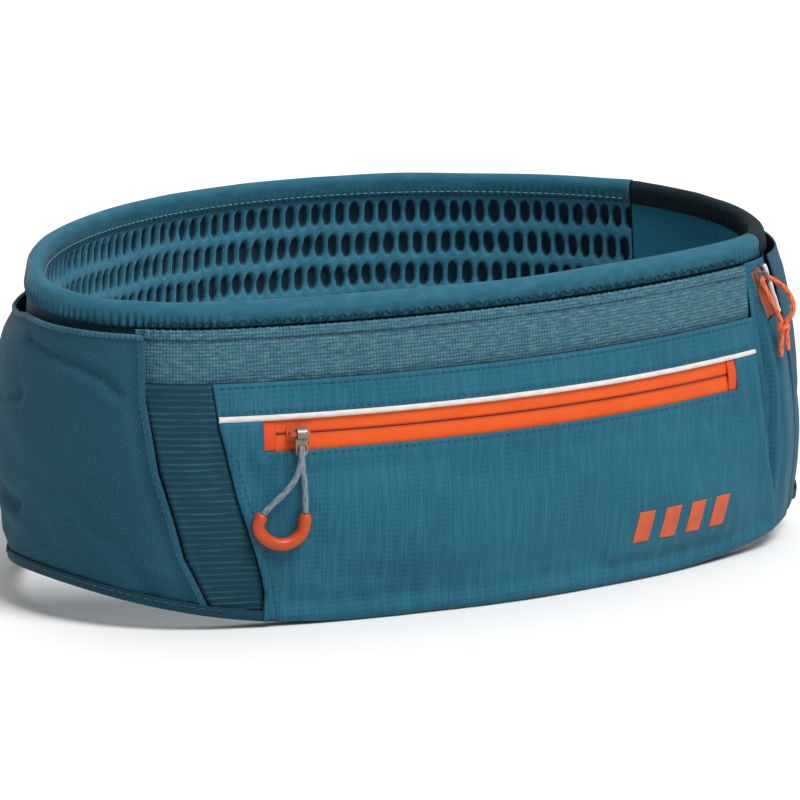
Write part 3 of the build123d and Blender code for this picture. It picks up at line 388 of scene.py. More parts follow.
# ---------------------------------------------------------------- mesh building
def thicken(points, faces, uv, depth, extra):
    """Give a sheet a thickness behind it, with rounded edges. All in millimetres."""
    normals = np.zeros_like(points)
    quads = np.array(faces)
    a = points[quads[:, 2]] - points[quads[:, 0]]
    b = points[quads[:, 3]] - points[quads[:, 1]]
    flat = np.cross(a, b)
    for k in range(4):
        np.add.at(normals, quads[:, k], flat)
    normals /= np.linalg.norm(normals, axis=1)[:, None] + 1e-12
    count = len(points)
    inner = points - normals * depth
    edges = {(p, q): True for face in faces for p, q in zip(face, face[1:] + face[:1])}
    border = [(p, q) for p, q in edges if (q, p) not in edges]
    outward = {}
    for p, q in border:
        way = np.cross(points[q] - points[p], normals[p])
        way /= np.linalg.norm(way) + 1e-12
        for v in (p, q):
            outward.setdefault(v, []).append(way)
    ring = {}
    middle = []
    for v, ways in outward.items():
        mean = np.mean(ways, axis=0)
        mean /= np.linalg.norm(mean) + 1e-12
        ring[v] = 2 * count + len(middle)
        middle.append((points[v] + inner[v]) / 2 + mean * depth / 2)
    source = list(ring)
    every = np.concatenate([points, inner, np.array(middle).reshape(-1, 3)])
    every_uv = np.concatenate([uv, uv, uv[source].reshape(-1, 2)])
    more = {k: np.concatenate([v, v * 0, v[source]]) for k, v in extra.items()}
    out = list(faces)
    out += [tuple(v + count for v in reversed(face)) for face in faces]
    for p, q in border:
        out.append((q, p, ring[p], ring[q]))
        out.append((ring[q], ring[p], p + count, q + count))
    return every, out, every_uv, more


def make_mesh(name, points, faces, uv, material, extra=None):
    """A smooth mesh object from millimetres, with its UV map in millimetres."""
    mesh = bpy.data.meshes.new(name)
    mesh.from_pydata((np.asarray(points) * MM).tolist(), [], [tuple(map(int, f)) for f in faces])
    layer = mesh.uv_layers.new(name="cloth")
    corner = np.zeros(len(mesh.loops), np.int32)
    mesh.loops.foreach_get("vertex_index", corner)
    layer.data.foreach_set("uv", np.asarray(uv, np.float32)[corner].ravel())
    for key, values in (extra or {}).items():
        made = mesh.attributes.new(key, "FLOAT", "POINT")
        made.data.foreach_set("value", np.asarray(values, np.float32))
    mesh.polygons.foreach_set("use_smooth", np.ones(len(mesh.polygons), bool))
    mesh.materials.append(material)
    mesh.update()
    obj = bpy.data.objects.new(name, mesh)
    bpy.context.scene.collection.objects.link(obj)
    return obj


def join_parts(parts):
    """Join (points, faces, uv) triples into one."""
    points, faces, uvs, count = [], [], [], 0
    for p, f, t in parts:
        points.append(p)
        uvs.append(t)
        faces += [tuple(v + count for v in face) for face in f]
        count += len(p)
    return np.concatenate(points), faces, np.concatenate(uvs)


def grid_faces(rows, columns, skip=None, flip=False):
    faces = []
    for r in range(rows - 1):
        for c in range(columns - 1):
            if skip is not None and skip(r, c):
                continue
            low, high = r * columns + c, (r + 1) * columns + c
            face = (low, low + 1, high + 1, high)
            faces.append(tuple(reversed(face)) if flip else face)
    return faces


def tube_parts(path, radii, sides=14):
    """A swept tube with closed ends, as points, faces and UVs round and along it."""
    path = np.asarray(path, float)
    radii = np.broadcast_to(np.asarray(radii, float), (len(path),))
    tangent = np.gradient(path, axis=0)
    tangent /= np.linalg.norm(tangent, axis=1)[:, None]
    side = np.cross(tangent[0], [0.3, 0.5, 0.81])
    side /= np.linalg.norm(side)
    length = np.concatenate([[0], np.cumsum(np.linalg.norm(np.diff(path, axis=0), axis=1))])
    points, uv = [], []
    for k in range(len(path)):
        side = side - tangent[k] * (side @ tangent[k])
        side /= np.linalg.norm(side)
        other = np.cross(tangent[k], side)
        for j in range(sides + 1):
            turn = 2 * math.pi * j / sides
            points.append(path[k] + radii[k] * (side * math.cos(turn) + other * math.sin(turn)))
            uv.append((radii.max() * turn, length[k]))
    width = sides + 1
    faces = grid_faces(len(path), width)
    for end, ring, flip in ((0, 0, True), (-1, (len(path) - 1) * width, False)):
        centre = len(points)
        points.append(path[end])
        uv.append((0, length[end]))
        for j in range(sides):
            face = (ring + j, ring + j + 1, centre)
            faces.append(tuple(reversed(face)) if flip else face)
    return np.array(points), faces, np.array(uv, float)


def nurbs_path(name, points, per=14):
    """Points along the smooth line that a cord's route gives, read from its NURBS curve."""
    curve = bpy.data.curves.new(name + "_route", "CURVE")
    curve.dimensions = "3D"
    curve.resolution_u = per
    spline = curve.splines.new("NURBS")
    spline.points.add(len(points) - 1)
    for point, place in zip(spline.points, points):
        point.co = (*(c * MM for c in place), 1.0)
    spline.order_u = 3
    spline.use_endpoint_u = True
    holder = bpy.data.objects.new(name + "_route", curve)
    bpy.context.scene.collection.objects.link(holder)
    bpy.context.view_layer.update()
    mesh = bpy.data.meshes.new_from_object(holder)
    line = np.array([v.co[:] for v in mesh.vertices]) / MM
    bpy.data.meshes.remove(mesh)
    bpy.data.objects.remove(holder)
    bpy.data.curves.remove(curve)
    return line


def belt_piece(name, parts, material, node):
    """A piece of the belt made from one (points, faces, uv) triple."""
    return finish_piece(make_mesh(name, *parts, M[material]), "belt", [node])


def finish_piece(obj, body, replaced=()):
    """body is a body's name, to which the piece is attached; given two names and two points instead, the
    piece only has its transform baked in.
    """
    if isinstance(body, str):
        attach(obj, body)
    else:
        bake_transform(obj)
    if replaced:
        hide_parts(*replaced)
    return obj


# ---------------------------------------------------------------- cords
def local_frame(origin, x_dir, z_dir):
    """A function from a plane's own coordinates to the pack's frame."""
    x = np.array(x_dir) / np.linalg.norm(x_dir)
    z = np.array(z_dir) / np.linalg.norm(z_dir)
    z = z - x * (x @ z)
    z /= np.linalg.norm(z)
    y = np.cross(z, x)

    def place(points):
        points = np.atleast_2d(np.asarray(points, float))
        return np.array(origin) + points[:, :1] * x + points[:, 1:2] * y + points[:, 2:3] * z

    return place


pull_place = local_frame(
    (-96.2827, -105.803, 76.4092), (0.968148, -0.25038, 0.0), (-0.250277, -0.967751, 0.028612)
)
PULL_CORD_ROUTE = [
    (-15.6, -30.4, 0.0), (-12.0, -26.6, 0.5), (-5.2, -20.6, 1.6), (-1.5, -13.8, 2.5),
    (-0.4, -5.4, 3.0), (0.4, -5.4, -2.2), (0.9, -13.2, -1.7), (1.6, -23.4, -0.6), (1.3, -31.2, 0.0),
]
GRIP_ROUTE = [
    (-15.6, -30.4, 0.0), (-17.6, -33.0, 0.0), (-17.4, -37.0, 0.0), (-13.6, -41.0, 0.0),
    (-7.8, -42.9, 0.0), (-2.2, -41.0, 0.0), (1.0, -36.6, 0.0), (1.3, -31.2, 0.0),
]
HIP_TURN = math.radians(29.4)
hip_place = local_frame(
    (130.361, -84.4751, 109.709),
    (math.cos(HIP_TURN), math.sin(HIP_TURN), 0.0),
    (math.sin(HIP_TURN), -math.cos(HIP_TURN), 0.0),
)
HIP_CORD_ROUTE = [
    (-0.6, -17.0, 8.6), (-1.7, -13.4, 7.4), (-3.2, -8.6, 5.4), (-4.0, -3.6, 3.0), (-2.7, -0.4, 0.2),
    (2.2, 0.4, 0.0), (4.0, -1.6, 3.6), (4.0, -5.4, 9.6), (2.8, -11.6, 12.6), (1.3, -15.4, 11.4),
    (0.6, -17.4, 9.6),
]


def path_length(path):
    return float(np.linalg.norm(np.diff(path, axis=0), axis=1).sum())


pull_path = nurbs_path("pull_cord", pull_place(PULL_CORD_ROUTE))
pull_cord = make_mesh("pull_cord_braid", *tube_parts(pull_path, 1.1, 16), M["cord"])
finish_piece(pull_cord, "pull_loop", ["pull_cord"])

grip_path = nurbs_path("pull_grip", pull_place(GRIP_ROUTE))
along = np.linspace(0, 1, len(grip_path))
from_end = np.minimum(along, 1 - along) * path_length(grip_path)
grip_radius = 2.42 - 0.5 * np.exp(-((from_end / 0.5) ** 2)) + 0.12 * np.exp(-(((from_end - 1.6) / 0.6) ** 2))
pull_grip = make_mesh("pull_grip_rubber", *tube_parts(grip_path, grip_radius, 20), M["grip"])
finish_piece(pull_grip, "pull_loop", ["pull_grip"])

hip_path = nurbs_path("hip_pull_cord", hip_place(HIP_CORD_ROUTE))
hip_cord = make_mesh("hip_pull_braid", *tube_parts(hip_path, 1.0, 14), M["hip_cord"])
finish_piece(hip_cord, "hip_pull", ["hip_pull_cord"])

# The knot: the two ends go round each other once and hang out below it.
KNOT_ROUTE = [
    (-0.6, -16.8, 8.7), (-1.6, -18.2, 8.0), (-1.5, -20.2, 8.0), (0.2, -21.2, 8.6),
    (1.8, -20.2, 9.6), (1.2, -18.6, 10.6), (-0.9, -18.4, 10.4), (-1.8, -19.8, 9.5),
    (-0.8, -21.2, 8.9), (-0.6, -23.0, 8.7), (-1.2, -26.0, 8.6), (-0.6, -31.0, 8.3),
]
TAIL_ROUTE = [
    (0.6, -17.0, 9.8), (1.9, -19.2, 10.4), (1.0, -21.6, 9.8), (1.8, -24.6, 10.2), (1.6, -28.6, 10.4),
]
knot_parts = [
    tube_parts(nurbs_path("knot", hip_place(KNOT_ROUTE)), 1.0, 14),
    tube_parts(nurbs_path("knot_tail", hip_place(TAIL_ROUTE)), 1.0, 14),
]
hip_knot = make_mesh("hip_pull_knot_braid", *join_parts(knot_parts), M["hip_cord"])
finish_piece(hip_knot, "hip_pull", ["hip_pull_knot"])

# ---------------------------------------------------------------- the wall's shape
SIDE_X, SIDE_R, FRONT_R, BACK_R = 98.5, 60.0, 368.0, 166.0
FRONT_HEIGHT, BACK_RISE = 125.0, 7.0
FRONT_REACH = math.sqrt((FRONT_R - SIDE_R) ** 2 - SIDE_X**2)
BACK_REACH = math.sqrt((BACK_R - SIDE_R) ** 2 - SIDE_X**2)
FRONT_TURN = math.degrees(math.atan2(SIDE_X, FRONT_REACH))
BACK_TURN = math.degrees(math.atan2(SIDE_X, BACK_REACH))
SIDE_Y = -(BACK_R - BACK_REACH - FRONT_R + FRONT_REACH) / 2
FRONT_Y = SIDE_Y + FRONT_REACH
BACK_Y = SIDE_Y - BACK_REACH
OUT = 10.0
HINGE = np.array([149.168, -36.101])
HINGE_HEADING = 78.0
FLAP_R, FRONT_CUT_R = 42.5, 43.05


def belly(z):
    """How far the outer cloth stands out at a height: an arc, fullest at BELLY_Z."""
    return BELLY_OUT - BELLY_R + np.sqrt(BELLY_R**2 - (np.asarray(z, float) - BELLY_Z) ** 2)


def lining(z):
    return -2.0 + 9.0 * (FRONT_HEIGHT - np.asarray(z, float)) / FRONT_HEIGHT


def whole_turn(heading):
    return (np.asarray(heading, float) + FRONT_TURN) % 360.0 - FRONT_TURN


def wall(heading, z, offset):
    """Points at headings and heights, an offset outside the rim's oval, in millimetres."""
    h = whole_turn(heading)
    front, right, rear = h <= FRONT_TURN, h <= 180 - BACK_TURN, h <= 180 + BACK_TURN
    cx = np.select([front, right, rear], [0.0, SIDE_X, 0.0], -SIDE_X)
    cy = np.select([front, right, rear], [FRONT_Y, SIDE_Y, BACK_Y], SIDE_Y)
    radius = np.select([front, right, rear], [FRONT_R, SIDE_R, BACK_R], SIDE_R)
    turn = np.radians(h)
    reach = radius + offset
    return np.stack([cx + reach * np.sin(turn), cy - reach * np.cos(turn), np.broadcast_to(z, h.shape)], -1)


FRONT_S = math.radians(FRONT_TURN) * (FRONT_R + OUT)
SIDE_S = math.radians(180 - BACK_TURN - FRONT_TURN) * (SIDE_R + OUT)
BACK_S = math.radians(BACK_TURN) * (BACK_R + OUT)
GIRTH = 2 * (FRONT_S + SIDE_S + BACK_S)
BELLY_R, BELLY_Z, BELLY_OUT = 244.0, 43.4, 14.45


def arc_length(heading):
    """How far round the wall a heading is, in millimetres from the middle of the front."""
    h = np.asarray(heading, float)
    local = whole_turn(h)
    turns = np.round((h - local) / 360.0)
    r = math.radians(1)
    s = np.select(
        [local <= FRONT_TURN, local <= 180 - BACK_TURN, local <= 180 + BACK_TURN],
        [
            local * r * (FRONT_R + OUT),
            FRONT_S + (local - FRONT_TURN) * r * (SIDE_R + OUT),
            FRONT_S + SIDE_S + (local - 180 + BACK_TURN) * r * (BACK_R + OUT),
        ],
        FRONT_S + SIDE_S + 2 * BACK_S + (local - 180 - BACK_TURN) * r * (SIDE_R + OUT),
    )
    return s + turns * GIRTH


def rim_top(heading):
    """The height of the rim: level round the front, rising to the back."""
    y = wall(heading, 0.0, 0.0)[..., 1] - SIDE_Y
    rise = np.clip((y + 28.0) / 75.0, 0, 1)
    return FRONT_HEIGHT + BACK_RISE * rise


def hem(heading):
    """The height of the bottom edge: flat under front and back, rising to the hips."""
    x = np.abs(wall(heading, 0.0, 12.0)[..., 0])
    run = np.clip(x - 70.0, 0, None)
    radius = (110.0**2 + 19.5**2) / (2 * 19.5)
    return radius - np.sqrt(radius**2 - run**2)


def spread_out(heading, z):
    """The wearer's right hip pushes the lining and the rim out towards the side pocket."""
    h = (np.asarray(heading, float) + 180.0) % 360.0 - 180.0
    reach = np.clip(1 - np.abs((h + 92.0) / 58.0), 0, 1)
    rise = np.clip((np.asarray(z, float) - 55.0) / 60.0, 0, 1)
    return 5.6 * reach * reach * (3 - 2 * reach) * rise * rise * (3 - 2 * rise)


table = np.random.default_rng(11).random((64, 64))


def smooth_noise(s, z, across, up, seed):
    """Soft noise from -1 to 1 that joins up all the way round the ring."""
    cells = max(4, int(round(GIRTH / across)))
    x = np.asarray(s, float) / GIRTH * cells
    y = np.asarray(z, float) / up + seed * 7.31
    x0, y0 = np.floor(x).astype(int), np.floor(y).astype(int)
    fx, fy = x - x0, y - y0
    fx, fy = fx * fx * (3 - 2 * fx), fy * fy * (3 - 2 * fy)

    def at(i, j):
        return table[((i % cells) * 13 + seed * 5) % 64, (j + seed * 17) % 64]

    low = at(x0, y0) * (1 - fx) + at(x0 + 1, y0) * fx
    high = at(x0, y0 + 1) * (1 - fx) + at(x0 + 1, y0 + 1) * fx
    return (low * (1 - fy) + high * fy) * 2 - 1


def crease(s, z, line, width, depth):
    """A fold along a line of (heading, height) points, with a soft lip beside it."""
    points = [(float(arc_length(h)), t) for h, t in line]
    s = np.asarray(s, float)
    z = np.asarray(z, float)
    shape = np.broadcast(s, z).shape
    best = np.full(shape, 1e9)
    side = np.zeros(shape)
    for (s0, z0), (s1, z1) in zip(points, points[1:]):
        ds, dz = s1 - s0, z1 - z0
        size = math.hypot(ds, dz)
        t = np.clip(((s - s0) * ds + (z - z0) * dz) / size**2, 0, 1)
        gap = np.hypot(s - s0 - t * ds, z - z0 - t * dz)
        way = ((s - s0) * dz - (z - z0) * ds) / size
        nearer = gap < best
        side = np.where(nearer, way, side)
        best = np.where(nearer, gap, best)
    fold = -depth * np.exp(-((best / width) ** 2))
    lip = 0.45 * depth * np.exp(-(((side - 1.7 * width) / (1.2 * width)) ** 2))
    return fold + lip * np.exp(-((best / (3 * width)) ** 2))


# Folds in the outer cloth: a line of headings and heights, a width and a depth in millimetres.
FOLDS = [
    ([(-92, 106), (-78, 103.5), (-66, 101), (-57, 97), (-52, 92)], 2.4, 2.0),
    ([(-136, 80), (-112, 79), (-96, 84)], 3.4, 2.4),
    ([(-136, 47), (-114, 46), (-96, 41)], 3.6, 2.6),
    ([(-96, 60), (-80, 52), (-66, 50)], 5.0, 0.7),
    ([(-60, 40), (-50, 30), (-42, 12)], 4.0, 0.8),
    ([(-19, 62), (-16, 44), (-13, 28)], 9.0, 1.5),
    ([(-13, 18), (-6, 15), (4, 17)], 5.0, 1.0),
    ([(3, 62), (6, 50), (13, 44)], 6.0, 1.1),
    ([(-9, 62), (-5, 54), (2, 52)], 5.0, 0.9),
    ([(-4, 52), (-1, 38), (-2, 24)], 6.0, 0.5),
    ([(14, 60), (16.5, 44), (17, 26)], 3.0, 0.6),
]


def relief(s, z):
    """The outer cloth's own unevenness, shared by pieces that are sewn together."""
    out = 0.55 * smooth_noise(s, z, 44, 38, 1) + 0.28 * smooth_noise(s, z, 19, 17, 2)
    out = out + 0.1 * smooth_noise(s, z, 8, 8, 3)
    from_hip = np.abs((np.asarray(s, float) - arc_length(-118.0) + GIRTH / 2) % GIRTH - GIRTH / 2)
    tuck = ease(1 - from_hip / 42.0) * ease((52.0 - np.asarray(z, float)) / 10.0)
    out = out - 2.6 * tuck
    for line, width, depth in FOLDS:
        out = out + crease(s, z, line, width, depth)
    return out


def heading_of_x(x, z, offset, back=False):
    """The heading where the wall, seen from the front, stands at x."""
    x = np.asarray(x, float)
    reach_front = FRONT_R + offset
    on_front = np.abs(x) <= reach_front * math.sin(math.radians(FRONT_TURN))
    front = np.degrees(np.arcsin(np.clip(x / reach_front, -1, 1)))
    lean = (np.abs(x) - SIDE_X) / (SIDE_R + offset)
    side = np.sign(x) * np.degrees(np.arcsin(np.clip(lean, -1, 1)))
    turned = np.sign(x) * 180.0 - side
    return turned if back else np.where(on_front, front, side)


def outline(points, shift=0.0, offset=belly, back=False):
    """An edge given as (x, height) points, as a function from height to heading."""
    line = sorted((z, x + shift) for x, z in points)
    zs, xs = [z for z, _ in line], [x for _, x in line]
    return lambda z: heading_of_x(np.interp(z, zs, xs), z, offset(z), back)


def level(value):
    return lambda other: np.full(np.shape(other), float(value))


def closure(offset, radius):
    """The heading at which the wall meets the circle that the flap sweeps."""
    reach = SIDE_R + offset
    centre = np.array([SIDE_X, SIDE_Y])
    d = float(np.linalg.norm(HINGE - centre))
    return HINGE_HEADING - np.degrees(np.arccos((reach**2 + d * d - radius**2) / (2 * reach * d)))


# The print stays flat: its first and last heading, and its lowest and highest point.
CALM = [(6.4, 16.8, 14.0, 31.0)]
# Cloth starts to stand out this far from a sewn edge, and does so fully this much further in.
CALM_EDGE, CALM_RUN = 2.4, 8.0
SIM_SCALE, SIM_FRAMES = 10.0, 16


def ease(value):
    value = np.clip(value, 0, 1)
    return value * value * (3 - 2 * value)


def slack(points, shape, faces, h, z, grow, cap, sink=0.0):
    """How far slack cloth, sewn down round its edge, stands out of its sheet, in millimetres.

    Blender's cloth solver buckles the sheet. The result is smoothed a little and capped, and
    sink lets its middle fall back, clear of what hangs in front of it.
    """
    used = np.bincount(np.array(faces).ravel(), minlength=len(points))
    held = np.nonzero(used < 4)[0]
    sheet = bpy.data.meshes.new("slack")
    sheet.from_pydata((points * MM * SIM_SCALE).tolist(), [], faces)
    holder = bpy.data.objects.new("slack", sheet)
    bpy.context.scene.collection.objects.link(holder)
    holder.vertex_groups.new(name="sewn").add([int(v) for v in held], 1.0, "REPLACE")
    modifier = holder.modifiers.new("cloth", "CLOTH")
    cloth = modifier.settings
    cloth.vertex_group_mass = "sewn"
    cloth.quality, cloth.mass = 4, 0.15
    cloth.tension_stiffness = cloth.compression_stiffness = 15.0
    cloth.shear_stiffness, cloth.bending_stiffness = 5.0, 1.5
    cloth.shrink_min = -grow
    cloth.effector_weights.gravity = 0
    cloth.use_pressure, cloth.uniform_pressure_force = True, 0.4
    modifier.collision_settings.use_collision = False
    modifier.point_cache.frame_start, modifier.point_cache.frame_end = 1, SIM_FRAMES
    for frame_number in range(1, SIM_FRAMES + 1):
        bpy.context.scene.frame_set(frame_number)
    moved = holder.evaluated_get(bpy.context.evaluated_depsgraph_get()).data
    place = np.zeros(len(points) * 3, np.float32)
    moved.vertices.foreach_get("co", place)
    shift = place.reshape(-1, 3) / SIM_SCALE / MM - points
    bpy.data.objects.remove(holder)
    bpy.data.meshes.remove(sheet)
    bpy.context.scene.frame_set(1)
    turn = np.radians(h).ravel()
    out = (shift * np.stack([np.sin(turn), -np.cos(turn), 0 * turn], -1)).sum(1).reshape(shape)
    for _ in range(3):
        wide = np.pad(out, 1, mode="edge")
        out = (4 * out + wide[:-2, 1:-1] + wide[2:, 1:-1] + wide[1:-1, :-2] + wide[1:-1, 2:]) / 8
    tree = KDTree(len(held))
    for k, v in enumerate(held):
        tree.insert(points[v], k)
    tree.balance()
    away = np.array([tree.find(p)[2] for p in points]).reshape(shape)
    calm = ease((away - CALM_EDGE) / CALM_RUN)
    for h0, h1, z0, z1 in CALM:
        side = np.maximum(arc_length(h0) - arc_length(h), arc_length(h) - arc_length(h1))
        rise = np.maximum(z0 - z, z - z1)
        calm = calm * ease(np.hypot(np.maximum(side, 0), np.maximum(rise, 0)) / CALM_RUN)
    return calm * (np.where(out > 0, cap * np.tanh(out / cap), 0.5 * np.tanh(out / 0.5)) - sink)


def cell_steps(counts):
    """0, 1, 2 and so on, with counts steps between one and the next."""
    steps = [np.linspace(k, k + 1, n, endpoint=False) for k, n in enumerate(counts)]
    return np.concatenate(steps + [[len(counts)]])


def panel(name, body, replaced, material, stations, levels, offset, depth,
          step=1.5, skip=None, flip=False, extra=None, loose=None):
    """A sheet of cloth on the wall.

    stations are functions from height to heading, left to right; levels are functions from
    heading to height, bottom to top. offset(h, z, s, u, t) is its outer face in millimetres.
    skip(station gap, level gap) leaves a window. loose is how much the cloth is too large, and
    how far it may stand out.
    """
    z_mid = float(np.mean([np.mean(f(np.zeros(1))) for f in levels]))
    spans = [
        float(np.max(arc_length(b(np.array([z_mid]))) - arc_length(a(np.array([z_mid])))))
        for a, b in zip(stations, stations[1:])
    ]
    h_mid = (stations[0](np.array([z_mid])) + stations[-1](np.array([z_mid]))) / 2
    rises = [float(np.max(b(h_mid) - a(h_mid))) for a, b in zip(levels, levels[1:])]
    across = [max(2, int(abs(w) / step)) for w in spans]
    up = [max(2, int(abs(r) / step)) for r in rises]
    us, ts = cell_steps(across), cell_steps(up)
    u, t = np.meshgrid(us, ts)
    h = np.full(u.shape, float(h_mid[0]))
    z = np.full(u.shape, z_mid)
    for _ in range(6):
        low_k = np.clip(np.floor(u).astype(int), 0, len(stations) - 2)
        edges = np.stack([f(z) for f in stations])
        a = np.take_along_axis(edges, low_k[None], 0)[0]
        b = np.take_along_axis(edges, low_k[None] + 1, 0)[0]
        h = a + (b - a) * (u - low_k)
        low_j = np.clip(np.floor(t).astype(int), 0, len(levels) - 2)
        edges = np.stack([f(h) for f in levels])
        a = np.take_along_axis(edges, low_j[None], 0)[0]
        b = np.take_along_axis(edges, low_j[None] + 1, 0)[0]
        z = a + (b - a) * (t - low_j)
    s = arc_length(h)
    off = offset(h, z, s, u / (len(stations) - 1), t / (len(levels) - 1))
    points = wall(h, z, off).reshape(-1, 3)
    uv = np.stack([s, z], -1).reshape(-1, 2)
    rows, columns = u.shape
    cut = None
    if skip is not None:
        cut = lambda r, c: skip(int(us[c]), int(ts[r]))
    faces = grid_faces(rows, columns, cut, flip)
    if loose:
        off = off + slack(points, u.shape, faces, h, z, *loose)
        points = wall(h, z, off).reshape(-1, 3)
    more = {k: f(h, z, s).ravel() for k, f in (extra or {}).items()}
    points, faces, uv, more = thicken(points, faces, uv, depth, more)
    obj = make_mesh(name, points, faces, uv, material, more)
    return finish_piece(obj, body, replaced)


def edge_bead(h, s, left, right, z, width=1.4, height=0.5):
    """A turned-in edge stands a little proud beside each seam."""
    a = s - arc_length(left(z))
    b = arc_length(right(z)) - s
    near = np.minimum(np.abs(a), np.abs(b))
    return height * np.exp(-(((near - width) / width) ** 2)) - 0.5 * height * np.exp(-((near / 0.5) ** 2))


def above_hem(gap):
    return lambda h: hem(h) + gap


CLOTH_FOOT = above_hem(2.4)
LINING_LINES = [above_hem(2.2), lambda h: rim_top(h) - 3.6]

# The flap's cloth runs on past the hinge; the belt's begins where it has ended.
BEND_START, BEND_END = 60.0, 98.0
BELT_START = BEND_END + 0.35
# Where the hip's cloth ends and the back's begins.
HIP_END, BACK_START = 121.8, 122.2
SEAM_GAP = 0.45
HINGE_CLOTH = (
    "closure_flap", "belt",
    tuple(wall(BEND_START, 60.0, -8.0) * 0.001), tuple(wall(BEND_END, 60.0, -8.0) * 0.001),
)


# ---------------------------------------------------------------- liner
def holes(s, z):
    """1 in the middle of each oval hole of the spacer mesh, 0 on the bars between them."""
    across, up = GIRTH / 141, 13.3
    row = np.floor(z / up)
    sx = s / across + 0.5 * (row % 2) + 0.16 * smooth_noise(s, z, 17, 21, 41)
    cx = (sx - np.floor(sx) - 0.5) * across
    cz = (z / up - row - 0.5) * up + 0.7 * smooth_noise(s, z, 13, 15, 43)
    near = np.sqrt((cx / 2.5) ** 2 + (np.abs(cz) / 5.3) ** 2.4)
    first = np.clip((1.12 - near) / 0.42, 0, 1)
    return first * first * (3 - 2 * first)


def liner_holes(h, z, s):
    return holes(s, rim_top(h) - 9.3 - np.asarray(z, float))


def liner_offset(h, z, s, u, t):
    pad = 0.5 * smooth_noise(s, z, 34, 28, 5)
    pit = liner_holes(h, z, s)
    lip = 0.35 * np.sin(np.pi * np.clip(pit * 1.6, 0, 1))
    return lining(z) + spread_out(h, z) - 4.0 + 2.7 * pit + pad - lip


liner = panel(
    "liner_spacer_mesh", "belt", ["spacer_mesh_liner"], M["spacer"],
    [level(BACK_START), level(369.6)],
    LINING_LINES,
    liner_offset, 0.7, step=0.95, flip=True, extra={"hole": liner_holes},
)


def soft_lining(depth, amount=0.5, seed=6):
    return lambda h, z, s, u, t: lining(z) - depth + amount * smooth_noise(s, z, 26, 30, seed)


panel(
    "hip_lining_cloth", "belt", ["hip_lining"], M["lining"],
    [level(BELT_START), level(HIP_END)],
    LINING_LINES,
    soft_lining(3.6), 0.8, flip=True,
)
panel(
    "flap_lining_cloth", HINGE_CLOTH, ["flap_lining"], M["lining"],
    [lambda z: closure(lining(z) - 3.6, FLAP_R), level(BEND_END)],
    LINING_LINES,
    soft_lining(3.6), 0.8, flip=True,
)
panel(
    "closure_lining_cloth", "belt", ["closure_lining"], M["lining"],
    [level(10.3), lambda z: closure(lining(z) - 1.0, FRONT_CUT_R + 0.1)],
    LINING_LINES,
    soft_lining(1.0, 0.1), 0.8, flip=True,
)
panel(
    "liner_back_cloth", "belt", ["liner_backing"], M["backing"],
    [level(BELT_START), lambda z: closure(lining(z) + 0.8, FRONT_CUT_R + 0.1) + 360],
    LINING_LINES,
    lambda h, z, s, u, t: lining(z) + 0.8 + spread_out(h, z), 0.6, step=3.0,
)
panel(
    "flap_back_cloth", HINGE_CLOTH, ["flap_backing"], M["backing"],
    [lambda z: closure(lining(z) + 0.8, FLAP_R), level(BEND_END)],
    LINING_LINES,
    lambda h, z, s, u, t: lining(z) + 0.8, 0.6, step=3.0,
)


def fuzz(depth, seed):
    return lambda h, z, s, u, t: lining(z) - depth + 0.12 * smooth_noise(s, z, 2.2, 2.0, seed)


panel(
    "loop_patch_pile", "belt", ["loop_patch"], M["hook"],
    [level(11.1), level(23.9)], [level(26.2), level(99.8)], fuzz(2.3, 3), 0.9, step=1.0, flip=True,
)
panel(
    "hook_patch_pile", "closure_flap", ["hook_patch"], M["hook"],
    [level(12.0), level(22.9)], [level(26.2), level(99.8)], fuzz(2.9, 4), 0.9, step=1.0,
)
panel(
    "closure_tongue_web", "closure_flap", ["closure_tongue"], M["dark_rim"],
    [level(11.6), level(57.9)], [level(24.3), level(101.7)],
    lambda h, z, s, u, t: lining(z) - 4.3, 1.2, extra={"groove": lambda h, z, s: s * 0},
)

# ---------------------------------------------------------------- outer front
LEFT_SEAM = [(-147.0, 118.0), (-148.3, 90.0), (-145.5, 62.0), (-137.6, 29.0), (-124.0, 0.0)]
POCKET_LEFT = [(-125.0, 95.5), (-124.3, 79.0), (-119.0, 52.0), (-109.7, 20.0), (-105.5, -1.0)]
POCKET_RIGHT = [(136.5, -1.0), (131.0, 20.0), (124.8, 42.0), (121.0, 82.0), (121.0, 95.5)]
MESH_LINE = ([115.5, 108.0, 98.0, 84.0, 66.0, 40.0, 20.0, -2.0], [3.3, 5.2, 6.6, 5.8, 6.0, 7.4, 8.6, 9.1])


def mesh_line(z):
    return np.interp(z, MESH_LINE[0][::-1], MESH_LINE[1][::-1])


def mesh_offset(h, z, s, u, t):
    band = np.clip((z - 88.0) / 8.0, 0, 1)
    soft = 0.45 * smooth_noise(s, z, 34, 30, 8) + 0.2 * smooth_noise(s, z, 9, 12, 9)
    fold = crease(s, z, [(-16.8, 97.0), (-15.2, 99.5), (-13.0, 102.5), (-10.5, 103.5)], 1.1, 0.8)
    fold = fold + crease(s, z, [(-3.0, 94.0), (-3.0, 112.0)], 1.2, 0.5)
    gather = 0.3 * np.cos(2 * np.pi * s / 3.4) * np.clip((z - 108.0) / 7.0, 0, 1)
    return mesh_line(z) + band * (soft + fold) + gather


mesh_left = outline(LEFT_SEAM, 0.6, mesh_line)
panel(
    "overflow_mesh_cloth", "belt", ["overflow_mesh_panel"], M["mesh"],
    [mesh_left, lambda z: heading_of_x(np.full(np.shape(z), 121.2), z, mesh_line(z))],
    [CLOTH_FOOT, level(115.3)], mesh_offset, 0.7, step=1.5,
)


def pucker(s, pitch):
    return np.cos(2 * np.pi * s / pitch + 1.3 * np.sin(s / 7.0))


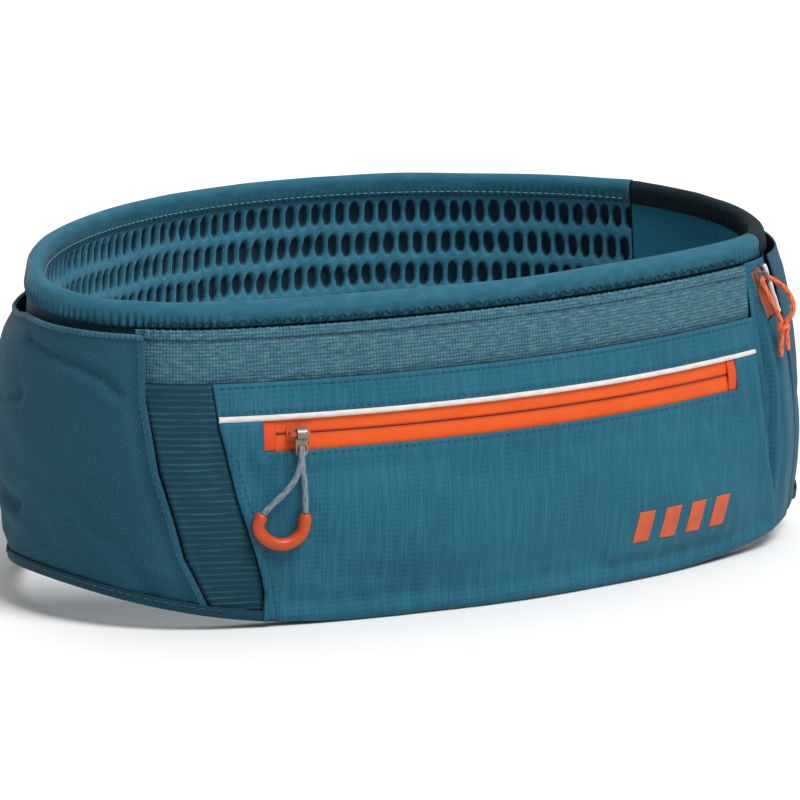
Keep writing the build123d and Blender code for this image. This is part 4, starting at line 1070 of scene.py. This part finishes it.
panel(
    "overflow_mouth_binding", "belt", ["overflow_mouth_elastic"], M["mesh"],
    [level(-45.6), level(18.8)],
    [
        lambda h: 112.3 + 0.25 * pucker(arc_length(h), 3.1),
        lambda h: 115.7 + 0.3 * pucker(arc_length(h), 3.1),
    ],
    lambda h, z, s, u, t: mesh_line(z) + 0.75 + 0.15 * pucker(s, 3.1) + 0.3 * np.sin(t * np.pi),
    0.5, step=0.7,
)

ZIP_LOW_Z, ZIP_TOP_Z, COIL_Z, ZIP_HEADING = 69.2, 81.1, 75.6, 16.6
left_edge, right_edge = outline(POCKET_LEFT), outline(POCKET_RIGHT)


def face_offset(h, z, s, u, t):
    base = belly(z) + 0.9 * relief(s, z)
    turned = np.clip((3.2 - (z - hem(h))) / 3.2, 0, 1)
    puff = 0.5 * np.sin(np.clip((z - hem(h)) / 66.0, 0, 1) * np.pi)
    return base + edge_bead(h, s, left_edge, right_edge, z) + puff - 1.6 * turned**2 + 0.5


panel(
    "front_pocket_cloth", "belt", ["front_pocket_face"], M["ripstop"],
    [left_edge, level(-ZIP_HEADING), level(ZIP_HEADING), right_edge],
    [lambda h: hem(h) + 0.5, level(ZIP_LOW_Z), level(81.0)],
    face_offset, 0.7, step=1.5, skip=lambda a, b: a == 1 and b == 1, loose=(0.012, 1.8, 2.5),
)
panel(
    "front_pocket_strip_cloth", "belt", ["front_pocket_top_strip"], M["ripstop"],
    [left_edge, right_edge], [level(83.4), level(95.5)],
    lambda h, z, s, u, t: belly(z) + 0.5 * relief(s, z) + 0.3 * np.exp(-(((95.0 - z) / 1.2) ** 2)) + 0.2, 0.7,
)


def rail(z, inset, start, end, step=1.2, lift=None):
    """A line along the wall at a height, an inset outside the belly."""
    h = np.linspace(start, end, max(3, int((arc_length(end) - arc_length(start)) / step)))
    off = belly(z) + inset + (0.6 * relief(arc_length(h), z) if lift is None else lift)
    return wall(h, np.full(h.shape, float(z)), off)


piping_ends = float(left_edge(np.array([82.2]))[0]), float(right_edge(np.array([82.2]))[0])
piping_path = rail(82.25, -0.25, piping_ends[0] + 0.05, piping_ends[1] - 0.05)
piping_radius = 1.08 + 0.3 * np.exp(-np.linspace(0, 5, len(piping_path)))
piping = tube_parts(piping_path, piping_radius, 12)
belt_piece("reflective_piping_cord", piping, "piping", "reflective_piping")

# ---------------------------------------------------------------- front zip
def tape_offset(inset):
    return lambda h, z, s, u, t: belly(z) - inset + 0.35 * relief(s, COIL_Z) + 0.12 * np.sin(t * np.pi)


# Painted shade on the tape on either side of the coil slot.
def slot_shade(h, z, s):
    return np.exp(-((np.abs(z - COIL_Z) - 0.5) / 0.35) ** 2)


for name, node, low, high in (
    ("zip_tape_low", "zip_tape_lower", 67.0, COIL_Z - 0.42),
    ("zip_tape_high", "zip_tape_upper", COIL_Z + 0.42, 82.6),
):
    panel(
        name, "belt", [node], M["tape"], [level(-17.4), level(17.4)],
        [level(low), level(high)], tape_offset(0.95), 0.7, step=0.8, extra={"groove": slot_shade},
    )


def teeth(z_side, pitch=1.25):
    """One side of the zip's coil: a row of short loops, tops towards the slot."""
    parts = []
    arcs = np.arange(arc_length(-16.0), arc_length(16.0), pitch)
    for k, s in enumerate(arcs):
        s = s + (pitch / 2 if z_side > 0 else 0)
        h = math.degrees(s / (FRONT_R + OUT))
        run = []
        for a in np.linspace(-0.45, 1.0, 5):
            z = COIL_Z - 0.2 + z_side * 0.85 * a
            off = belly(z) - 1.75 - 0.35 * max(0, a)
            run.append(wall(np.array([h]), np.array([z]), off)[0])
        parts.append(tube_parts(run, [0.28, 0.42, 0.42, 0.4, 0.3], 6))
    return join_parts(parts)


for name, node, side in (("zip_teeth_low", "zip_coil_lower", -1), ("zip_teeth_high", "zip_coil_upper", 1)):
    belt_piece(name, teeth(side), "coil", node)

tab_parts = []
for sign in (-1, 1):
    h = np.linspace(sign * 16.25 - 0.36, sign * 16.25 + 0.36, 6)
    z = np.linspace(ZIP_LOW_Z + 0.3, ZIP_TOP_Z - 0.3, 12)
    hh, zz = np.meshgrid(h, z)
    points = wall(hh, zz, belly(zz) - 0.15 + 0.25 * np.cos((zz - COIL_Z) * 0.5)).reshape(-1, 3)
    uv = np.stack([arc_length(hh), zz], -1).reshape(-1, 2)
    tab_parts.append(thicken(points, grid_faces(12, 6), uv, 0.6, {})[:3])
belt_piece("zip_end_cloth", join_parts(tab_parts), "tab", "zip_end_tabs")

# ---------------------------------------------------------------- gusset, side and back
gusset_left, gusset_right = outline(LEFT_SEAM, SEAM_GAP), outline(POCKET_LEFT, -SEAM_GAP)
panel(
    "ribbed_gusset_cloth", "belt", ["left_ribbed_gusset"], M["ribbed"],
    [gusset_left, gusset_right], [CLOTH_FOOT, level(95.2)],
    lambda h, z, s, u, t: belly(z) - 0.9 + 0.8 * relief(s, z)
    + 0.8 * edge_bead(h, s, gusset_left, gusset_right, z), 0.8, step=0.9,
)

SIDE_LINE = ([114.5, 95.0, 78.0, 60.0, 43.4, 24.0, -2.0], [10.0, 12.6, 13.8, 14.45, 14.45, 13.6, 10.1])


def side_line(z):
    return np.interp(z, SIDE_LINE[0][::-1], SIDE_LINE[1][::-1])


side_left = outline(LEFT_SEAM, -SEAM_GAP, side_line, back=True)
side_right = outline(LEFT_SEAM, -SEAM_GAP, side_line)


def side_offset(h, z, s, u, t):
    soft = 0.5 * smooth_noise(s, z, 30, 22, 12)
    soft = soft + 0.2 * np.cos(2 * np.pi * s / 4.2) * np.clip((z - 109) / 5.5, 0, 1)
    turn = (np.asarray(h, float) + 180.0) % 360.0 - 180.0
    hug = np.clip((z - 88.0) / 26.0, 0, 1) ** 2 * np.clip((-turn - 60.0) / 35.0, 0, 1)
    out = side_line(z) + relief(s, z) + 0.6 * soft + edge_bead(h, s, side_left, side_right, z, 1.9, 1.1)
    return out - (0.9 + 3.0 * np.clip((-turn - 80.0) / 35.0, 0, 1)) * hug


def pocket_top(heading):
    """The side pocket's top edge: level in front, dropping towards the back seam."""
    turn = (np.asarray(heading, float) + 180.0) % 360.0 - 180.0
    fall = np.clip((-turn - 96.0) / 40.0, 0, 1)
    return 114.2 - 7.0 * fall * fall * (3 - 2 * fall)


panel(
    "side_pocket_cloth", "belt", ["side_pocket_panel"], M["side"],
    [side_left, side_right], [CLOTH_FOOT, pocket_top],
    side_offset, 0.9, step=1.6, loose=(0.008, 2.0),
)
panel(
    "side_pocket_binding", "belt", ["side_pocket_elastic"], M["edge"],
    [lambda z: side_left(z) + 0.3, lambda z: side_right(z) - 0.3],
    [lambda h: pocket_top(h) - 1.2, lambda h: pocket_top(h) + 0.6],
    lambda h, z, s, u, t: side_offset(h, z, s, u, t) + 0.35 + 0.4 * np.sin(t * np.pi), 0.9, step=0.6,
    # The elastic is a little darker all along, with painted shade in its gathers every 2.1 mm.
    extra={"groove": lambda h, z, s: 0.3 + 0.3 * np.cos(2 * np.pi * s / 2.1)},
)


def circle_line(a, b, c):
    """Offset against height along the arc through three (offset, height) points."""
    (x1, z1), (x2, z2), (x3, z3) = a, b, c
    m = np.array([[x2 - x1, z2 - z1], [x3 - x1, z3 - z1]]) * 2
    v = np.array([x2**2 + z2**2 - x1**2 - z1**2, x3**2 + z3**2 - x1**2 - z1**2])
    cx, cz = np.linalg.solve(m, v)
    r = math.hypot(x1 - cx, z1 - cz)
    return lambda z: cx + np.sqrt(r * r - (np.asarray(z, float) - cz) ** 2)


back_line = circle_line((0.2, 132.0), (13.4, 66.0), (10.1, -2.0))


def back_offset(h, z, s, u, t):
    return back_line(z) + 0.7 * relief(s, z) * np.clip((128 - z) / 20, 0, 1)


back_right = outline(LEFT_SEAM, SEAM_GAP, back_line, back=True)
panel(
    "back_cloth", "belt", ["back_panel"], M["side"],
    [level(BACK_START), lambda z: back_right(z) + 360.0],
    [CLOTH_FOOT, lambda h: rim_top(h) - 8.0], back_offset, 0.9, step=1.9, loose=(0.006, 2.0),
)
panel(
    "hip_cloth", "belt", ["hip_panel"], M["side"],
    [level(BELT_START), level(HIP_END)],
    [CLOTH_FOOT, lambda h: rim_top(h) - 8.0], back_offset, 0.9, step=1.9, loose=(0.006, 2.0),
)
panel(
    "flap_cloth", HINGE_CLOTH, ["flap_panel"], M["side"],
    [lambda z: closure(back_line(z) + 0.2, FLAP_R), level(BEND_END)],
    [CLOTH_FOOT, lambda h: rim_top(h) - 8.0], back_offset, 0.9, step=1.9, loose=(0.006, 2.0),
)

# ---------------------------------------------------------------- front end and hip zip
HIP_HEADING, HIP_Z, HIP_LEAN = 29.4, 103.2, 11.5
hip_lean = math.asin((HIP_Z - BELLY_Z) / BELLY_R)
hip_out = np.array(
    [math.sin(HIP_TURN) * math.cos(hip_lean), -math.cos(HIP_TURN) * math.cos(hip_lean), math.sin(hip_lean)]
)
hip_along = np.array([math.cos(HIP_TURN), math.sin(HIP_TURN), 0.0])
hip_up = np.cross(hip_out, hip_along)
lean = math.radians(HIP_LEAN)
hip_x = hip_along * math.cos(lean) + hip_up * math.sin(lean)
hip_foot = wall(np.array([HIP_HEADING]), np.array([HIP_Z]), belly(HIP_Z))[0]
zip_place = local_frame(hip_foot - hip_out * 0.8, hip_x, hip_out)

end_left = outline(POCKET_RIGHT[:4] + [(121.4, 118.0)], SEAM_GAP)


def end_offset(h, z, s, u, t):
    tall = 0.9 * np.cos(2 * np.pi * s / 7.5 + 0.03 * z) * np.exp(-(((s - arc_length(24.0)) / 9.0) ** 2))
    tall = tall * np.clip((100.0 - z) / 20.0, 0, 1) * np.clip((z - 12.0) / 20.0, 0, 1)
    fold = crease(s, z, [(23.6, 100.0), (22.6, 76.0), (23.4, 52.0), (25.0, 24.0)], 1.6, 1.6)
    return belly(z) - 0.35 + 0.6 * relief(s, z) + tall + fold * np.clip((z - 16.0) / 22.0, 0, 1)


end_panel = panel(
    "front_end_cloth", "belt", ["front_end_panel"], M["end_ripstop"],
    [end_left, lambda z: closure(belly(z) - 0.1, FRONT_CUT_R + 0.1)],
    [lambda h: hem(h) + 0.6, level(116.0)], end_offset, 0.8, step=1.2, loose=(0.01, 1.6),
)


def cut_box(obj, place, half_x, half_y, half_z):
    """Cut a slanting window through a sheet."""
    both = (-1, 1)
    corners = [(x * half_x, y * half_y, z * half_z) for x in both for y in both for z in both]
    faces = [(0, 1, 3, 2), (4, 6, 7, 5), (0, 4, 5, 1), (2, 3, 7, 6), (0, 2, 6, 4), (1, 5, 7, 3)]
    cutter = make_mesh("cutter", place(corners), faces, np.zeros((8, 2)), M["backing"])
    modifier = obj.modifiers.new("window", "BOOLEAN")
    modifier.operation, modifier.solver, modifier.object = "DIFFERENCE", "EXACT", cutter
    bpy.context.view_layer.update()
    graph = bpy.context.evaluated_depsgraph_get()
    solid = obj.evaluated_get(graph)
    cut = bpy.data.meshes.new_from_object(solid, preserve_all_data_layers=True, depsgraph=graph)
    obj.modifiers.remove(modifier)
    obj.data = cut
    bpy.data.objects.remove(cutter)


cut_box(end_panel, zip_place, 4.2, 10.6, 4.0)


def flat_patch(place, x0, x1, y0, y1, z, depth, step=0.8, bulge=0.0):
    nx, ny = max(2, int((x1 - x0) / step)), max(2, int((y1 - y0) / step))
    x, y = np.meshgrid(np.linspace(x0, x1, nx), np.linspace(y0, y1, ny))
    zz = z + bulge * np.sin((x - x0) / (x1 - x0) * np.pi)
    points = place(np.stack([x, y, zz], -1).reshape(-1, 3))
    uv = np.stack([x, y], -1).reshape(-1, 2)
    return thicken(points, grid_faces(ny, nx), uv, depth, {})[:3]


HIP_TAPE_X, HIP_TAPE_HALF, HIP_TAPE_END = 2.25, 1.85, 10.3
hip_tapes = [
    flat_patch(
        zip_place, s * HIP_TAPE_X - HIP_TAPE_HALF, s * HIP_TAPE_X + HIP_TAPE_HALF,
        -HIP_TAPE_END, HIP_TAPE_END, 0.0, 0.7, bulge=0.1,
    )
    for s in (-1, 1)
]
belt_piece("hip_zip_tape_pair", join_parts(hip_tapes), "shaded_hip_tape", "hip_zip_tapes")
hip_teeth = []
for k in np.arange(-9.4, 9.4, 1.2):
    for s in (-1, 1):
        shift = 0.6 if s > 0 else 0.0
        run = zip_place([(s * x, k + shift, -1.1 - 0.25 * max(0, x)) for x in np.linspace(-0.2, 1.2, 5)])
        hip_teeth.append(tube_parts(run, [0.25, 0.38, 0.38, 0.36, 0.28], 6))
belt_piece("hip_zip_teeth", join_parts(hip_teeth), "coil", "hip_zip_coils")
hip_edge = zip_place([(5.2, y, 1.7 + 0.1 * math.sin(y)) for y in np.linspace(-10.2, 10.2, 30)])
hip_piping = tube_parts(hip_edge, 0.95, 10)
belt_piece("hip_piping_cord", hip_piping, "piping", "hip_piping")


# ---------------------------------------------------------------- bindings
def binding(name, body, node, material, start, end, seed, wave=0.5, puckers=0.5, step=0.9):
    """A strip rolled over the wall's top edge. start and end are functions of offset."""
    half = (rim_outer(0) - rim_inner(0)) / 2
    roll = min(half, 3.7)
    leg = RIM_H - roll
    steps = [("o", k) for k in np.linspace(0, 1, 6)][:-1]
    turn = [("r", k) for k in np.linspace(0, 1, 11)]
    legs = [("i", k) for k in np.linspace(0, 1, 6)][1:]
    profile = []
    for kind, k in steps + turn + legs:
        if kind == "o":
            profile.append((1.0, -RIM_H + leg * k, 1 - k))
        elif kind == "r":
            a = math.pi * k
            profile.append((math.cos(a), -roll + roll * math.sin(a), 0.0))
        else:
            profile.append((-1.0, -roll - leg * k, k))
    profile = np.array(profile)
    span = arc_length(end(0.0)) - arc_length(start(0.0))
    along = np.arange(0, 1.0001, 1 / max(4, int(span / step)))
    grids, uvs, groove_shades = [], [], []
    rolled = np.hypot(np.diff(profile[:, 0]) * half, np.diff(profile[:, 1]))
    round_s = np.concatenate([[0], np.cumsum(rolled)])
    for (side, drop, low), v in zip(profile, round_s):
        o = side * half + (rim_outer(0) + rim_inner(0)) / 2
        h = start(o) + (end(o) - start(o)) * along
        s = arc_length(h)
        edge = rim_top(h)
        sway = smooth_noise(s, 0 * s, 42, 30, seed) + 0.3 * smooth_noise(s, 0 * s, 15, 30, seed + 1)
        z = edge + drop
        centre = (rim_outer(edge) + rim_inner(edge)) / 2
        width = (rim_outer(edge) - rim_inner(edge)) / 2
        uneven = 0.9 + 0.8 * smooth_noise(s, 0 * s, 38, 30, seed + 4)
        gather = puckers * uneven * pucker(s + side * 1.7, 3.4) * np.clip(low * 1.2, 0, 1)
        fat = 0.25 * smooth_noise(s, z, 12, 9, seed + 2)
        off = centre + lining_shift(z, edge) + side * (width + gather + fat * (1 - low)) + spread_out(h, edge)
        up = wave * sway * (1 - 0.7 * low) + 0.45 * gather * (low > 0)
        z = np.minimum(z + up, edge + 0.35)
        grids.append(wall(h, z, off))
        uvs.append(np.stack([s, np.full(s.shape, v)], -1))
        # Painted shade: darker towards the bottom of each leg and in the valleys of the puckers.
        groove_shades.append(np.clip(low * (0.55 - 0.45 * pucker(s + side * 1.7, 3.1)), 0, 1))
    points = np.stack(grids)
    rows, columns = points.shape[:2]
    faces = grid_faces(rows, columns)
    p, f, t, more = thicken(
        points.reshape(-1, 3), faces, np.stack(uvs).reshape(-1, 2), 0.75,
        {"groove": np.stack(groove_shades).ravel()},
    )
    obj = make_mesh(name, p, f, t, material, more)
    return finish_piece(obj, body, [node])


def lining_shift(z, edge):
    """The wall's lean under the edge."""
    return lining(z) - lining(edge)


def rim_inner(z):
    return lining(z) - 5.3


def rim_outer(z):
    return lining(z) + 1.95


def front_cut(offset):
    """The heading where the belt's front end stops, beside the flap."""
    return 360.0 + closure(offset, FRONT_CUT_R + 0.1)


def flap_end(offset):
    return closure(offset, FLAP_R - 0.1)


RIM_H = 8.9
after_bend, bend_end = level(BEND_END + 0.4), level(BEND_END)
binding("rim_roll", "belt", "rim_binding", M["rim"], level(122.25), front_cut, 21)
binding(
    "hip_rim_roll", "belt", "hip_rim_binding", M["dark_rim"],
    after_bend, level(HIP_END), 23, wave=1.1,
)
binding(
    "flap_rim_roll", HINGE_CLOTH, "flap_rim_binding", M["dark_rim"],
    flap_end, bend_end, 25, wave=0.4,
)


def hem_outer(z):
    return belly(z) + 0.9


def hem_inner(z):
    return lining(z) - 4.9


def hem_strip(name, body, node, start, end):
    """The bottom binding: a flat strip under the wall with a low leg on each side."""
    height_out, height_in = 4.4, 6.0
    count = max(4, int((arc_length(end(0.0)) - arc_length(start(0.0))) / 1.6))
    along = np.linspace(0, 1, count)
    rows, uvs, groove_shades = [], [], []
    outside = [(1.0, z) for z in np.linspace(height_out, 1.4, 5)]
    corner = [(1.0 - 0.14 * (1 - math.cos(a)), 1.4 - 1.2 * math.sin(a)) for a in (0.5, 1.0, 1.5)]
    under = [(x, 0.18) for x in np.linspace(0.7, -0.7, 6)]
    inside = [(-1.0 + 0.14 * (1 - math.cos(a)), 1.4 - 1.2 * math.sin(a)) for a in (1.5, 1.0, 0.5)]
    inside += [(-1.0, z) for z in np.linspace(1.4, height_in, 5)]
    v = 0.0
    for side, rise in outside + corner + under + inside:
        o = 10.0 * side
        h = start(o) + (end(o) - start(o)) * along
        s = arc_length(h)
        edge = hem(h)
        turn = (whole_turn(h) + 180) % 360 - 180
        # Round the pocket and the front end the outer leg is tucked in behind the cloth.
        behind = np.clip((turn + 16.5) / 1.5, 0, 1) * np.clip((55.0 - turn) / 1.5, 0, 1)
        middle = (hem_outer(edge) + hem_inner(edge)) / 2
        width = (hem_outer(edge) - hem_inner(edge)) / 2
        off = middle + side * width + (belly(edge + rise) - belly(edge)) * max(0, side)
        off = off + (relief(s, edge + 4) - 1.9 * behind if side > 0 else 0)
        ripple = 0.15 * smooth_noise(s, 0 * s, 9, 9, 31)
        rows.append(wall(h, edge + np.maximum(rise + ripple * (rise > 1), 0.1), off))
        v += 1.2
        uvs.append(np.stack([s, np.full(s.shape, v)], -1))
        # Painted shade line along the top of the hem's outer leg, where it meets the cloth above.
        groove_shades.append(np.full(s.shape, 0.6 if rise > height_out - 0.4 and side > 0 else 0.0))
    points = np.stack(rows)
    n_rows, columns = points.shape[:2]
    p, f, t, more = thicken(
        points.reshape(-1, 3), grid_faces(n_rows, columns, flip=True), np.stack(uvs).reshape(-1, 2), 0.6,
        {"groove": np.stack(groove_shades).ravel()},
    )
    obj = make_mesh(name, p, f, t, M["hem"], more)
    return finish_piece(obj, body, [node])


hem_strip("hem_fold", "belt", "hem_binding", after_bend, front_cut)
hem_strip("flap_hem_fold", HINGE_CLOTH, "flap_hem_binding", flap_end, bend_end)


# ---------------------------------------------------------------- badge
def badge_bars():
    parts = []
    for bar in range(4):
        middle = 11.6 + math.degrees((bar - 1.5) * 14.0 / (FRONT_R + BELLY_OUT))
        x, t = np.meshgrid(np.linspace(-4.0, 4.0, 14), np.linspace(0, 1, 18))
        soft = 0.5 * np.exp(-((4.0 - np.abs(x)) / 0.35) ** 2)
        shift = x + 3.0 * (t - 0.5)
        h = middle + np.degrees(shift / (FRONT_R + BELLY_OUT))
        z = 22.5 + 12.0 * (t - 0.5) * (1 - 0.03 * soft)
        s = arc_length(h)
        off = face_offset(h, z, s, 0.5 + 0 * s, t) + 0.28 - 0.1 * soft
        uv = np.stack([s, z], -1).reshape(-1, 2)
        parts.append(thicken(wall(h, z, off).reshape(-1, 3), grid_faces(18, 14), uv, 0.24, {})[:3])
    return join_parts(parts)


belt_piece("badge_bars", badge_bars(), "badge", "printed_badge")


# ---------------------------------------------------------------- stitches
def stitch_row(name, body, slot, material, path, outward, length=2.0, gap=0.9, radius=0.22, zigzag=0.0):
    """A row of raised stitches along a line of points."""
    path = np.asarray(path, float)
    outward = np.asarray(outward, float)
    run = np.concatenate([[0], np.cumsum(np.linalg.norm(np.diff(path, axis=0), axis=1))])

    def at(d):
        return np.array([np.interp(d, run, path[:, k]) for k in range(3)])

    def out_at(d):
        n = np.array([np.interp(d, run, outward[:, k]) for k in range(3)])
        return n / np.linalg.norm(n)

    parts = []
    d, flip = 0.4, 1
    while d + length < run[-1]:
        tangent = at(d + length) - at(d)
        n = out_at(d)
        across = np.cross(n, tangent / np.linalg.norm(tangent))
        line = []
        for k, lift in ((0.0, -0.05), (0.25, 0.16), (0.75, 0.16), (1.0, -0.05)):
            sway = across * zigzag * flip * (k - 0.5) * 2
            line.append(at(d + length * k) + n * lift + sway)
        parts.append(tube_parts(line, [radius * 0.7, radius, radius, radius * 0.7], 5))
        d += length + gap
        flip = -flip
    obj = make_mesh(name, *join_parts(parts), material)
    return finish_piece(obj, body)


def seam(name, slot, thread, h, z, offset, inside=False, **sizes):
    """Stitches on the belt along headings and heights. offset(h, z, s) is where the cloth is."""
    z = np.broadcast_to(np.asarray(z, float), h.shape)
    turn = np.radians(h)
    outward = np.stack([np.sin(turn), -np.cos(turn), 0 * turn], -1)
    path = wall(h, z, offset(h, z, arc_length(h)))
    stitch_row(name, "belt", slot, M[thread], path, -outward if inside else outward, **sizes)


def on_side(h, z, s):
    return side_offset(h, z, s, 0, 0) + 0.05


def on_face(h, z, s):
    return face_offset(h, z, s, 0, 0) + 0.02


def on_strip(lift):
    return lambda h, z, s: belly(z) + 0.5 * relief(s, z) + lift


def on_back(h, z, s):
    return back_offset(h, z, s, 0, 0) + 0.04


def on_hem(h, z, s):
    base = hem(h)
    return hem_outer(base) + belly(z) - belly(base) + relief(s, base + 4) + 0.05


def on_rim(h, z, s):
    return rim_outer(z) + 0.35 + spread_out(h, FRONT_HEIGHT)


def inside_rim(h, z, s):
    return rim_inner(z) - 0.28 + spread_out(h, rim_top(h))


side_z, pocket_z = np.linspace(6, 112, 60), np.linspace(4, 80, 50)
back_z, hip_z = np.linspace(10, 108, 60), np.linspace(12, 116, 60)
strip_h = np.linspace(piping_ends[0] + 0.3, piping_ends[1] - 0.3, 220)
rim_h, back_h = np.linspace(123, 368, 900), np.linspace(124, 246, 420)
left_h, hem_h = np.linspace(236.0, 341.5, 700), np.linspace(BEND_END + 1.5, 235.0, 700)
ZIGZAG = {"length": 1.7, "gap": 0.5, "radius": 0.24, "zigzag": 0.7}
LONG = {"length": 2.2, "gap": 1.4, "radius": 0.2}

seam("side_seam_stitches", "side_stretch", "thread", side_right(side_z) - 1.6, side_z, on_side)
seam("pocket_left_stitches", "ripstop", "thread", left_edge(pocket_z) + 0.55, pocket_z, on_face)
seam("strip_low_stitches", "ripstop", "thread", strip_h, 84.9, on_strip(0.24))
seam("strip_top_stitches", "ripstop", "thread", strip_h, 94.2, on_strip(0.38))
seam("zip_low_stitches", "ripstop", "thread", np.linspace(-16.4, 16.4, 220), 68.1, on_face)
seam("rim_front_stitches", "rim_elastic", "dark_thread", np.linspace(-46, 19, 400), 117.9, on_rim, **ZIGZAG)
seam("rim_inner_stitches", "rim_elastic", "pale_thread", rim_h, rim_top(rim_h) - 7.4, inside_rim, inside=True)
seam("back_top_stitches", "side_stretch", "pale_thread", back_h, rim_top(back_h) - 10.4, on_back)
seam("hem_left_stitches", "dark_elastic", "thread", left_h, hem(left_h) + 3.3, on_hem, **LONG)
seam("hem_back_stitches", "dark_elastic", "thread", hem_h, hem(hem_h) + 3.3, on_hem, **LONG)
seam("back_seam_stitches", "side_stretch", "thread", back_right(back_z) + 360.0 - 1.7, back_z, on_back)
seam("hip_seam_stitches", "side_stretch", "thread", 120.0 + 0 * hip_z, hip_z, on_back)

# ---------------------------------------------------------------- metal parts
for node, look in (("slider_body", "paint"), ("pull_tab", "metal"), ("hip_slider", "metal")):
    for place in NODES[node].material_slots:
        place.material = M[look]


# ---------------------------------------------------------------- floor and light
def make_floor():
    size = 30.0
    mesh = bpy.data.meshes.new("floor")
    corners = [(-size, -size, 0), (size, -size, 0), (size, size, 0), (-size, size, 0)]
    mesh.from_pydata(corners, [], [(0, 1, 2, 3)])
    floor = bpy.data.objects.new("floor", mesh)
    bpy.context.scene.collection.objects.link(floor)
    mat = bpy.data.materials.new("floor")
    mat.use_nodes = True
    bsdf = mat.node_tree.nodes["Principled BSDF"]
    bsdf.inputs["Base Color"].default_value = (0.8, 0.8, 0.8, 1)
    bsdf.inputs["Roughness"].default_value = 0.9
    mesh.materials.append(mat)


def make_lights():
    bpy.context.scene.view_settings.view_transform = "Standard"
    world = bpy.data.worlds.new("studio")
    world.use_nodes = True
    world.node_tree.nodes["Background"].inputs[0].default_value = (1.0, 1.0, 1.0, 1)
    world.node_tree.nodes["Background"].inputs[1].default_value = 0.38
    bpy.context.scene.world = world
    for name, energy, angle, way in (
        ("key", 3.15, 28.0, (0.15, -0.62, 1.0)),
        ("rim", 0.9, 60.0, (0.5, 0.9, 1.4)),
    ):
        data = bpy.data.lights.new(name, "SUN")
        data.energy = energy
        data.angle = math.radians(angle)
        lamp = bpy.data.objects.new(name, data)
        bpy.context.scene.collection.objects.link(lamp)
        lamp.rotation_mode = "QUATERNION"
        lamp.rotation_quaternion = Vector(way).to_track_quat("Z", "Y")


make_floor()
make_lights()
